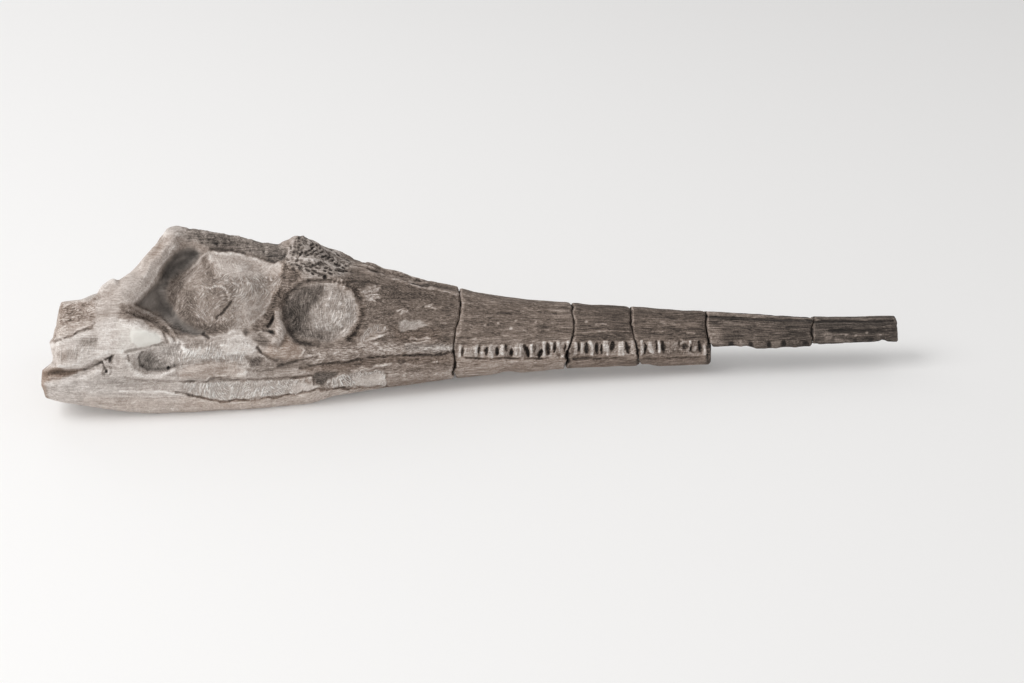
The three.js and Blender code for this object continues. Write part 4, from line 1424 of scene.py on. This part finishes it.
@dataclass
class SnoutPiece(FossilPiece):
    """One stretch of the snout, with tooth sockets and worn walls between them along the gum.

    Each gap is a socket's upper end, its lower end and its width.
    """

    # half an oval's width and height, as a share of the gap's own and some more millimetres
    oval_width: ClassVar[Numbers] = 0.48, 0.35
    oval_height: ClassVar[Numbers] = 0.55, 0.6
    wall_width: ClassVar[float] = 2.6
    below_gum: ClassVar[float] = 30  # how far down the jaw its own tone reaches

    gum: Course = ()
    gaps: tuple[tuple[float, float, float, float, float], ...] = ()
    walls: tuple[Course, ...] = ()
    cuts: tuple[Stroke, ...] = ()
    marks: tuple[Wash, ...] = ()
    low_tone: float = 0.50
    gum_tone: float = 0.66

    def carve(self, clay: Clay) -> None:
        """Cuts the sockets, walls and grooves.

        Args:
            clay: The piece being carved.
        """
        strokes: list[Stroke] = [Basin(self.gum, 2.0, 0.9)] if self.gum else []
        strokes += [Basin(socket, 1.4, 1.8) for socket in self.sockets()]
        strokes += [Furrow(wall, self.wall_width, -1.1) for wall in self.walls]
        clay.carve(tuple(strokes) + self.cuts, ragged=1.3)

    def sockets(self) -> list[Course]:
        """The outlines of the empty sockets: upright ovals that lean with their gaps.

        Returns:
            One closed outline for each gap.
        """
        ovals = []
        for u, v, lower_u, lower_v, width in self.gaps:
            half_width = self.oval_width[0] * width + self.oval_width[1]
            half_height = self.oval_height[0] * (lower_v - v) + self.oval_height[1]
            lean = -math.degrees(math.atan2(lower_u - u, lower_v - v))
            ovals.append(ring((u + lower_u) / 2, (v + lower_v) / 2, half_width, half_height, lean))
        return ovals

    def paint(self, clay: Clay) -> None:
        """Paints the sockets dark as painted shade, the walls between them pale, and the marks along the bone.

        Args:
            clay: The piece being painted.
        """
        washes: list[Wash] = []
        if self.gum:
            corners = pairs(self.gum)
            low = sorted(corners[len(corners) // 2 :])
            low += [(u, v + self.below_gum) for u, v in reversed(low)]
            below = tuple(place for corner in low for place in corner)
            washes += coats(below, (TONE, self.low_tone, 2), (WARM, 0.6, 3))
            washes += coats(self.gum, (TONE, self.gum_tone, 1.2), (HATCH, 0.5, 2), (UPRIGHT, 1.0, 2))
        washes += [line(wall, 0.80, self.wall_width, 0.95) for wall in self.walls]
        # the sockets are painted dark: painted shade inside them
        washes += [patch(socket, 0.23, 1.0) for socket in self.sockets()]
        clay.paint(tuple(washes) + self.marks, ragged=1.4)


# ---- finishes ----


Socket = bpy.types.NodeSocket
Inputs = dict[int | str, object]


def add_node(tree: bpy.types.NodeTree, kind: str, inputs: Inputs, **settings: object) -> bpy.types.Node:
    """Adds a shader node.

    Args:
        tree: The material's node tree.
        kind: Type name after "ShaderNode".
        inputs: Value or linked output socket for each input.
        **settings: The node's own settings.

    Returns:
        The node.
    """
    node = tree.nodes.new("ShaderNode" + kind)
    for name, value in settings.items():
        setattr(node, name, value)
    for key, value in inputs.items():
        if isinstance(value, Socket):
            tree.links.new(value, node.inputs[key])
        else:
            node.inputs[key].default_value = value
    return node


@dataclass(frozen=True)
class Graph:
    """A material's node tree, and the patterns and sums that are built in it."""

    tree: bpy.types.NodeTree
    sight: tuple[float, float, float] = (0.0, -0.82, 0.57)  # patterns are turned about this axis

    def add(self, kind: str, inputs: Inputs, out: int | str = 0, **settings: object) -> Socket:
        """Adds a node and gives the output that is asked for."""
        return add_node(self.tree, kind, inputs, **settings).outputs[out]

    def coat(self, which: Coat) -> Socket:
        """A painted coat."""
        return self.add("Attribute", {}, "Fac", attribute_name=which.value, attribute_type="GEOMETRY")

    def math(self, operation: str, a: object, b: object = 0.0, c: object = 0.0) -> Socket:
        """Result of a sum of numbers or outputs."""
        return self.add("Math", {0: a, 1: b, 2: c}, operation=operation)

    def vary(self, pattern: Socket, amount: float, middle: float = 0.5) -> Socket:
        """A pattern moved to vary about zero, and scaled."""
        return self.math("MULTIPLY", self.math("SUBTRACT", pattern, middle), amount)

    def mix(self, share: Socket, a: Socket, b: Socket) -> Socket:
        """A value between two others."""
        return self.add("Mix", {0: share, 2: a, 3: b})

    def turn(self, place: Socket, angle: float) -> Socket:
        """A place turned about the axis of sight, by an angle in radians."""
        return self.add("VectorRotate", {"Vector": place, "Axis": self.sight, "Angle": angle})

    def sway(self, place: Socket, swing: Socket, metres: float) -> Socket:
        """A place pushed to and fro by a swing."""
        push = self.add("VectorMath", {0: swing, "Scale": metres}, operation="SCALE")
        return self.add("VectorMath", {0: place, 1: push}, operation="ADD")

    def ramp(self, value: Socket, span: tuple[float, float], to: tuple[float, float] = (0.0, 1.0),
             **settings: object) -> Socket:
        """Maps a value from one span to another."""
        inputs = {"Value": value, "From Min": span[0], "From Max": span[1], "To Min": to[0], "To Max": to[1]}
        return self.add("MapRange", inputs, **settings)

    def noise(self, place: Socket, size: Numbers, detail: float, rough: float = 0.55) -> Socket:
        """Noise along the skull.

        Args:
            place: Where to look it up.
            size: Length of its lumps, and their width if it isn't the same, in millimetres.
            detail: Number of finer layers.
            rough: Strength of the finer layers.

        Returns:
            The pattern.
        """
        scale = tuple(1000.0 / s for s in (size[0], size[-1], size[-1]))
        scaled = self.add("Mapping", {"Vector": place, "Scale": scale})
        return self.add("TexNoise", {"Vector": scaled, "Scale": 1.0, "Detail": detail, "Roughness": rough}, "Fac")


@dataclass(frozen=True)
class FossilBone:
    """Bone turned to stone in dark shale, prepared with hand tools, with rock left in its openings.

    The bone is grey-brown and fibrous along the skull, with pale flecks where its surface is bruised.
    The rock fill is paler and covered in short tool marks that turn from place to place.
    """

    name: str
    tones: tuple[tuple[float, str], ...] = (
        (0.00, "#131211"), (0.20, "#35312e"), (0.35, "#5a5551"), (0.50, "#827b75"), (0.65, "#a79f99"),
        (0.80, "#cdc6c1"), (1.00, "#f2efeb"))
    iron_stain: str = "#b99270"
    plaster: str = "#d9d6cf"
    roughness: float = 0.86
    specular: float = 0.35
    relief: float = 0.0010
    # length of each pattern along the skull, and its width, in millimetres
    fibre_mm: Numbers = (55.0, 1.3)
    fine_fibre_mm: Numbers = (22.0, 0.7)
    tool_mark_mm: Numbers = (1.0, 6.0)
    tool_patch_mm: Numbers = (18.0,)
    scratch_mm: Numbers = (4.0, 34.0)
    scratch_patch_mm: Numbers = (11.0,)
    fleck_mm: Numbers = (3.4, 1.3)
    stain_mm: Numbers = (40.0, 12.0)
    pit_mm: Numbers = (5.0, 2.6)
    # bands of fibres are this much longer and wider than one fibre
    band_stretch: tuple[float, float] = (2.4, 3.6)
    # speckles: size in millimetres, finer layers and contrast, from the broadest to the finest
    speckles: tuple[tuple[float, float, float], ...] = ((14.0, 4.0, 0.18), (2.4, 2.0, 0.22), (1.1, 1.0, 0.24))
    # how much each pattern changes the tone
    fibre_contrast: float = 0.34
    fine_fibre_contrast: float = 0.748
    band_contrast: float = 0.30
    tool_contrast: float = 0.36
    scratch_contrast: float = 0.12
    fleck_contrast: float = 0.10
    pit_shade: float = 0.15
    stain_amount: float = 0.06
    # which ways the tool marks run: two slants and upright, then the scratches and the pits, in radians
    tool_turns: Numbers = (0.75, -0.70, 0.12)
    scratch_turn: float = 0.9
    pit_turn: float = 0.5
    # how far the fibres and the hand's strokes swing, in metres, and how often
    fibre_swing: float = 0.006
    hand_swing: float = 0.030
    swings: float = 22.0

    def tool_marks(self, graph: Graph, place: Socket, hand: Socket) -> Socket:
        """Short marks of a hand tool, in patches that slant one way or the other, or upright where painted so.

        Args:
            graph: The material's nodes.
            place: Place on the skull.
            hand: The same place, as the hand's strokes swing.

        Returns:
            The pattern.
        """
        marks = (graph.noise(graph.turn(hand, angle), self.tool_mark_mm, 1.0) for angle in self.tool_turns)
        one, other, upright = (graph.ramp(mark, (0.44, 0.70)) for mark in marks)
        side = graph.ramp(graph.noise(place, self.tool_patch_mm, 1.0), (0.47, 0.53))
        return graph.mix(graph.coat(UPRIGHT), graph.mix(side, one, other), upright)

    def scratches(self, graph: Graph, place: Socket, hand: Socket) -> Socket:
        """Long thin scratches, here and there.

        Args:
            graph: The material's nodes.
            place: Place on the skull.
            hand: The same place, as the hand's strokes swing.

        Returns:
            The pattern.
        """
        thin = graph.noise(graph.turn(hand, self.scratch_turn), self.scratch_mm, 1.0)
        here = graph.ramp(graph.noise(place, self.scratch_patch_mm, 1.0), (0.48, 0.60))
        middle = graph.math("ABSOLUTE", graph.math("SUBTRACT", thin, 0.5))
        return graph.math("MULTIPLY", graph.ramp(middle, (0.0, 0.035), (1.0, 0.0)), here)

    def pits(self, graph: Graph, place: Socket) -> Socket:
        """Small oval pits, where they are painted.

        Args:
            graph: The material's nodes.
            place: Place on the skull, along its fibres.

        Returns:
            The pits' depth, from 0 to 1.
        """
        long, wide = (1000 / size for size in self.pit_mm)
        spread = graph.add("Mapping", {"Vector": graph.turn(place, self.pit_turn), "Scale": (long, wide, wide)})
        cells = graph.add("TexVoronoi", {"Vector": spread, "Scale": 1.0}, "Distance")
        return graph.ramp(cells, (0.22, 0.50), (1.0, 0.0), interpolation_type="SMOOTHSTEP")

    def colour(self, graph: Graph, tone: Socket) -> Socket:
        """The stone's own colour at each tone.

        Args:
            graph: The material's nodes.
            tone: From the darkest, 0, to the palest, 1.

        Returns:
            The colour.
        """
        ramp = add_node(graph.tree, "ValToRGB", {"Fac": tone})
        for place, colour in self.tones[1:-1]:
            ramp.color_ramp.elements.new(place).color = linear(colour)
        for end in (0, -1):
            ramp.color_ramp.elements[end].color = linear(self.tones[end][1])
        return ramp.outputs[0]

    def build(self) -> bpy.types.Material:
        """Builds the material.

        Returns:
            The material.
        """
        material = bpy.data.materials.new(self.name)
        material.use_nodes = True
        material.node_tree.nodes.clear()
        graph = Graph(material.node_tree)
        add, times, join = graph.add, partial(graph.math, "MULTIPLY"), partial(graph.math, "MULTIPLY_ADD")
        plus, minus = partial(graph.math, "ADD"), partial(graph.math, "SUBTRACT")

        place = add("TexCoord", {}, "Object")
        swing = add("TexNoise", {"Vector": place, "Scale": self.swings, "Detail": 2.0}, "Color")
        swing = add("VectorMath", {0: swing, 1: (0.5, 0.5, 0.5)}, operation="SUBTRACT")
        grain_place = graph.sway(place, swing, self.fibre_swing)
        hand = graph.sway(place, swing, self.hand_swing)
        tone, rock, hatch, warm, pitted, plaster, grain = (
            graph.coat(which) for which in (TONE, ROCK, HATCH, WARM, PITTED, PLASTER, GRAIN))
        bone, grain = minus(1.0, rock), times(grain, 2.0)

        fibres = graph.noise(grain_place, self.fibre_mm, 3.0, 0.6)
        fine = graph.noise(grain_place, self.fine_fibre_mm, 2.0)
        band_mm = tuple(size * stretch for size, stretch in zip(self.fibre_mm, self.band_stretch))
        bands = graph.noise(grain_place, band_mm, 2.0, 0.5)
        marks = self.tool_marks(graph, place, hand)
        speckles = [graph.noise(place, (size,), layers, 0.6) for size, layers, _ in self.speckles]
        pit_depth = times(self.pits(graph, grain_place), pitted)

        detail = plus(graph.vary(fibres, self.fibre_contrast), graph.vary(fine, self.fine_fibre_contrast))
        detail = times(plus(detail, graph.vary(bands, self.band_contrast)), join(bone, 0.75, 0.25))
        worked = join(hatch, 0.85, times(rock, 0.15))
        detail = join(graph.vary(marks, self.tool_contrast, 0.3), worked, detail)
        detail = join(self.scratches(graph, place, hand), times(rock, self.scratch_contrast), detail)
        for pattern, (_, _, contrast) in zip(speckles, self.speckles):
            detail = plus(detail, graph.vary(pattern, contrast))
        flecks = graph.ramp(graph.noise(grain_place, self.fleck_mm, 1.0), (0.70, 0.78), (0.0, self.fleck_contrast))
        tone = join(join(flecks, bone, detail), grain, tone)
        # the pits are darkened, as painted shade in them
        tone = minus(plus(tone, times(pitted, 0.05)), times(pit_depth, self.pit_shade))

        takes_stain = graph.ramp(tone, (0.45, 0.72), (0.62, 0.20))
        clouds = times(graph.noise(grain_place, self.stain_mm, 3.0), self.stain_amount)
        stain = {0: plus(times(warm, takes_stain), clouds), 6: self.colour(graph, tone), 7: linear(self.iron_stain)}
        stained = add("Mix", stain, 2, data_type="RGBA", blend_type="OVERLAY")
        colour = add("Mix", {0: plaster, 6: stained, 7: linear(self.plaster)}, 2, data_type="RGBA")

        height = plus(times(fibres, bone), times(marks, plus(hatch, times(rock, 0.3))))
        height = times(plus(height, times(speckles[1], 0.5)), graph.math("MINIMUM", grain, 1.2))
        height = times(minus(height, times(pit_depth, 1.0)), minus(1.0, times(plaster, 0.8)))
        bump = add("Bump", {"Height": height, "Strength": 1.0, "Distance": self.relief})
        shader = add("BsdfPrincipled", {"Base Color": colour, "Normal": bump, "Roughness": self.roughness,
            "Specular IOR Level": self.specular})
        add_node(graph.tree, "OutputMaterial", {"Surface": shader})
        return material


@dataclass(frozen=True)
class StudioPaper:
    """Matt white backing paper: plain and pale, with a soft tooth, and a faint glow that lifts its shadows as painted
    light.
    """

    name: str = "matt_white_paper"
    colour: str = "#e2e1e0"
    glow: float = 0.17
    roughness: float = 0.95
    tooth_scale: float = 600.0
    tooth_depth: float = 0.0003

    def build(self) -> bpy.types.Material:
        """Builds the material.

        Returns:
            The material.
        """
        material = bpy.data.materials.new(self.name)
        material.use_nodes = True
        tree = material.node_tree
        place = add_node(tree, "TexCoord", {}).outputs["Object"]
        tooth = add_node(tree, "TexNoise", {"Vector": place, "Scale": self.tooth_scale, "Detail": 2.0}).outputs["Fac"]
        bump = add_node(tree, "Bump", {"Height": tooth, "Strength": 0.15, "Distance": self.tooth_depth})
        shader = tree.nodes["Principled BSDF"]
        tree.links.new(bump.outputs[0], shader.inputs["Normal"])
        for name in ("Base Color", "Emission Color"):
            shader.inputs[name].default_value = linear(self.colour)
        shader.inputs["Roughness"].default_value = self.roughness
        shader.inputs["Emission Strength"].default_value = self.glow
        return material


# ---- studio ----


@dataclass
class Studio:
    """Floor, lights and sky."""

    floor_size: float = 9.0
    sky: float = 0.57
    # name, place in metres, length of the sides in metres and power in watts
    lamps: tuple[tuple[str, tuple[float, float, float], float, float], ...] = (
        ("key", (-2.3, -0.9, 2.4), 2.2, 68.0), ("fill", (-1.3, -2.3, 0.8), 1.8, 9.0),
        ("rim", (-1.4, 2.2, 1.4), 1.6, 6.0))

    def build(self) -> None:
        """Lays the floor and hangs the lights."""
        bpy.ops.object.select_all(action="DESELECT")
        bpy.ops.mesh.primitive_grid_add(x_subdivisions=8, y_subdivisions=8, size=self.floor_size)
        floor = bpy.context.view_layer.objects.active
        floor.name = "floor"
        floor.data.materials.append(StudioPaper().build())
        for name, place, size, watts in self.lamps:
            self.hang(name, place, size, watts)
        world = bpy.data.worlds.new("sky")
        world.use_nodes = True
        bpy.context.scene.world = world
        light = world.node_tree.nodes["Background"].inputs
        light["Color"].default_value = (1.0, 1.0, 1.0, 1.0)
        light["Strength"].default_value = self.sky
        bpy.context.scene.view_settings.view_transform = "Standard"

    def hang(self, name: str, place: tuple[float, float, float], size: float, watts: float) -> None:
        """Hangs a soft square light that faces the skull.

        Args:
            name: Name of the light.
            place: Where it hangs, in metres.
            size: Length of its sides, in metres.
            watts: Its power.
        """
        lamp = bpy.data.lights.new(name, "AREA")
        lamp.energy, lamp.size = watts, size
        holder = bpy.data.objects.new(name, lamp)
        bpy.context.scene.collection.objects.link(holder)
        holder.location = place
        holder.rotation_euler = Vector(place).to_track_quat("Z", "Y").to_euler()


def make_pieces(easel: Easel) -> tuple[FossilPiece, ...]:
    """Describes the six pieces, from the back of the skull to the tip of the snout.

    Args:
        easel: The frame that strokes are laid in.

    Returns:
        The pieces, not yet built.
    """
    skull = SkullBlock(
        "skull_block", easel, voxel_mm=2.55, far_keep_from=-355, finer_near=True, hollow_rounds=(5, 40),
        base_tone=(40, 0.7, 130, 0.71, 200, 0.66, 270, 0.57, 320, 0.49, 375, 0.455, 456, 0.39),
        base_scrape=(40, 0.6, 250, 0.6, 330, 0.2, 380, 0), base_warm=(40, 0.1, 180, 0.15, 330, 0.45, 456, 0.5),
    )
    rear = SnoutPiece(
        "rostrum_rear", easel, base_tone=(456, 0.43, 575, 0.43), low_tone=0.6, base_warm=(456, 0.5, 575, 0.5),
        gum=(457, 344, 478, 345, 505, 345, 530, 344, 545, 342, 570, 341, 570, 356, 530, 357, 500, 357, 480, 357,
            457, 357),
        gaps=(
            (462.3, 347.5, 462.3, 356, 1.8), (479, 345.5, 479, 353, 1.8), (486.5, 347, 486, 355, 3.4),
            (497.5, 348, 497.5, 355, 3.2), (506, 344.5, 506, 351, 1.8), (511, 349, 511, 356, 3),
            (525, 345, 528, 357, 3.2), (534.5, 345, 534.5, 352, 1.6), (541.5, 350, 539, 357, 3.2),
            (548, 343, 548, 354, 3.4), (554.8, 343, 554.5, 352, 3), (565, 344, 565, 352, 1.8),
        ),
        walls=(
            (459.8, 346, 460, 356), (476.5, 346, 476.3, 355), (483, 346, 481.5, 356), (490, 348, 493, 356),
            (502, 346, 502, 354), (516, 348, 516, 354), (521, 347, 521, 355), (531, 346, 531, 356),
            (544, 343, 544, 355), (551.5, 343, 550.5, 355), (558, 342, 562.5, 356), (567.5, 343, 567.5, 350),
        ),
        cuts=(
            Furrow((480, 301, 500, 308, 530, 311, 556, 312), 2.2, 0.5),
            Furrow((470, 333, 500, 331, 540, 330), 3, -0.4),
        ),
        marks=(
            line((480, 303, 500, 311), 0.58, 1.6), line((513, 324, 517, 319.5), 0.66, 1.4),
            *(patch(ring(u, v, 1.4, 1.2), 0.72, 0.8) for u, v in ((498, 323), (511, 328.5), (485, 325), (536, 322))),
            line((462, 341, 475, 338.5, 488, 338), 0.6, 1.8), line((505, 336.5, 525, 335, 532, 335.5), 0.58, 1.8),
            line((464, 300, 463, 312, 461.5, 325, 459, 335), 0.58, 1.8),
            line((466, 358.5, 495, 358.5, 520, 358.5), 0.26, 1.8), line((525, 358.5, 546, 358.5), 0.28, 1.8),
            line((480, 305, 505, 313, 530, 316), 0.3, 2.4, 0.5), line((472, 368, 510, 366, 550, 362), 0.6, 2.2, 0.6),
        ),
    )
    middle = SnoutPiece(
        "rostrum_middle", easel, base_tone=(570, 0.345, 640, 0.335), low_tone=0.5, gum_tone=0.6,
        base_warm=(570, 0.5, 640, 0.5),
        gum=(571, 342, 590, 341, 612, 341, 635, 341, 636, 355, 612, 355, 590, 355, 571, 356),
        gaps=(
            (578.7, 342, 578.7, 351, 1.8), (586, 343, 586.5, 353, 4), (596.8, 343, 597, 353, 3.4),
            (602, 345, 601.5, 353, 1.6), (613.4, 341.5, 611.6, 351, 4.6), (625.6, 341.5, 628.6, 353, 3.4),
        ),
        walls=(
            (575.5, 343, 575.5, 353), (581.5, 343, 581.5, 352), (590, 342, 592.6, 347, 592, 354),
            (604.5, 342, 604.5, 350), (607.4, 342, 607.8, 354), (619.5, 343, 620, 354), (622.5, 343, 623, 354),
            (631, 343, 632, 352),
        ),
        cuts=(Furrow((580, 313, 604, 315, 626, 315), 2.2, 0.5),),
        marks=(
            line((575, 332.5, 588, 333, 596, 332, 612, 330, 628, 331), 0.56, 1.8),
            line((573, 358.5, 600, 358.5), 0.22, 2), line((582, 364, 606, 363.5), 0.56, 1.5),
            line((604, 358, 630, 358), 0.3, 1.8, 0.6), patch(ring(586, 322, 2, 1.2), 0.6, 1),
            line((596, 324, 606, 325), 0.58, 1.4), line((612, 318, 622, 319), 0.26, 1.8),
        ),
    )
    front = SnoutPiece(
        "rostrum_front", easel, base_tone=(632, 0.385, 712, 0.355), low_tone=0.5, gum_tone=0.5,
        base_warm=(632, 0.5, 712, 0.5),
        gum=(641, 341, 660, 340, 684, 340, 704, 341, 705, 355, 684, 356, 660, 356, 641, 355),
        gaps=(
            (645.5, 344, 645.5, 353, 1.8), (656.3, 341, 656.6, 350, 1.6), (662.9, 341.5, 663.6, 351.5, 4),
            (679.6, 342, 680.2, 349, 1.6), (691, 345, 691, 352, 1.6), (699, 342, 700.5, 352, 3),
        ),
        walls=(
            (650.5, 343, 649.5, 348, 652.5, 353), (659.4, 342, 659.4, 352), (690, 342, 690, 346),
            (704, 346, 704.5, 354), (641.5, 342, 642.5, 353),
        ),
        cuts=(
            Furrow((644, 316, 670, 318, 700, 321), 2.2, 0.6), Spot(684.5, 347, 5, 6, -0.6),
            Spot(684.5, 346.5, 3.4, 4, 1.4), Furrow((708, 345, 708, 362), 2.4, 1.4),
        ),
        marks=(
            line((652, 331, 668, 331), 0.62, 1.6), line((688, 332.5, 695, 333), 0.66, 1.6),
            line((660, 322, 680, 325), 0.52, 1.8), patch((685, 342, 690, 342, 690, 352, 685, 352), 0.42, 1),
            *(patch(ring(u, v, 1.1, 1.1), 0.66, 0.7) for u, v in ((668, 342), (672, 346), (676, 343), (670, 351),
                (675, 350))),
            # the dark patch inside the small hollow is painted shade
            patch(ring(684.5, 346.5, 3, 3.6), 0.3, 1.2), line(ring(684.5, 347, 4.8, 5.2), 0.7, 1.6),
            patch(ring(695.5, 348.5, 1.7, 3.2), 0.74, 0.9), patch(ring(652.2, 348.5, 1.6, 4.5, -12), 0.78, 0.9),
            line((688, 353, 694, 354.5, 699, 355), 0.66, 1.4),
            patch((698, 323, 708, 323, 709, 337, 700, 337), 0.26, 3, 0.8), line((708, 345, 708, 362), 0.22, 2.4),
            line((644, 358.5, 680, 358.5, 700, 357), 0.27, 1.8, 0.7),
        ),
    )
    snout = SnoutPiece(
        "snout_front", easel, base_tone=(704, 0.345, 760, 0.335, 815, 0.295), base_warm=(704, 0.45, 815, 0.4),
        cuts=(
            Furrow((704, 315.5, 740, 317.5, 780, 319, 812, 320), 2.4, 1),
            Furrow((704, 325, 740, 329, 780, 329, 812, 330), 3.5, -0.5),
            *(Spot(u, v, ru, 5, 1.8) for u, v, ru in ((731, 345, 4), (751, 345, 3.5), (769, 345, 3.5), (783.5, 344, 4),
                (806, 344, 5))),
            *(Spot(u, v, 6, 7, -1) for u, v in ((715, 340), (741, 343), (760, 343), (776, 344), (795, 344))),
        ),
        marks=(
            line((708, 313.5, 740, 315.5, 780, 316.5, 812, 318), 0.56, 2.2),
            line((706, 317, 740, 319, 780, 320.5, 812, 321), 0.15, 2),
            patch((786, 327, 813, 328, 813, 336, 788, 336), 0.24, 3, 0.8),
            *(patch(shape, value, 2.5, amount=0.8) for value, shape in ((0.5, (708, 328, 722, 328, 722, 345,
                710, 345)), (0.5, (735, 340, 748, 340, 748, 348, 735, 347)), (0.5,
                (753, 338, 757, 338, 757, 342, 753, 342)), (0.46, (771, 340, 780, 340, 780, 349, 771, 349)))),
            # the sockets are painted dark: painted shade inside them
            *(patch(ring(u, 344.5, ru, 3.2), 0.16, 1.4, amount=0.9) for u, ru in ((731, 2.6), (751, 2),
                (769, 2), (783.5, 2.4), (806, 3.4))),
            line((724, 323, 744, 325), 0.48, 1.8), line((756, 326, 770, 327), 0.44, 1.6),
        ),
    )
    tip = SnoutPiece(
        "snout_tip", easel, base_tone=(812, 0.26, 900, 0.27), base_warm=(812, 0.35, 900, 0.35),
        cuts=(
            Furrow((815, 321, 850, 321, 893, 321), 2.4, 1.2), Furrow((830, 331, 860, 331, 895, 331), 4, 1),
            Furrow((818, 325, 850, 326, 890, 326), 3.5, -0.6), Spot(828, 336, 7, 6, -0.8),
            *(Spot(u, 342, 4, 4, 1.4) for u in (846, 862, 878, 889)),
        ),
        marks=(
            line((815, 318, 850, 318.5, 893, 318.5), 0.36, 2.8), line((815, 321, 850, 321, 893, 321), 0.14, 1.8),
            patch((830, 328.5, 895, 328.5, 896, 333.5, 830, 333.5), 0.19, 1.8),
            patch((816, 334, 896, 334, 897, 343, 816, 344), 0.29, 2), patch(ring(828, 336, 5, 4), 0.42, 1.5),
            *(patch(ring(u, v, 1.4, 1.1), 0.56, 0.8) for u, v in ((846, 335), (856, 335), (867, 333), (881, 335))),
            patch((835, 338, 850, 338, 850, 342, 835, 342), 0.44, 1.5),
            # the sockets are painted dark: painted shade inside them
            *(patch(ring(u, 341, 2.2, 2.4), 0.14, 1.2) for u in (855, 870, 884)),
        ),
    )
    return skull, rear, middle, front, snout, tip


def main() -> None:
    """Builds the camera, the studio and the six pieces, in order."""
    logging.basicConfig(level=logging.INFO, format="%(name)s: %(message)s")
    easel = Easel()
    easel.make_camera()
    Studio().build()
    material = FossilBone("fossil_bone_and_shale").build()
    for piece in make_pieces(easel):
        piece.build()
        piece.dress(material)


if __name__ == "__main__":
    main()
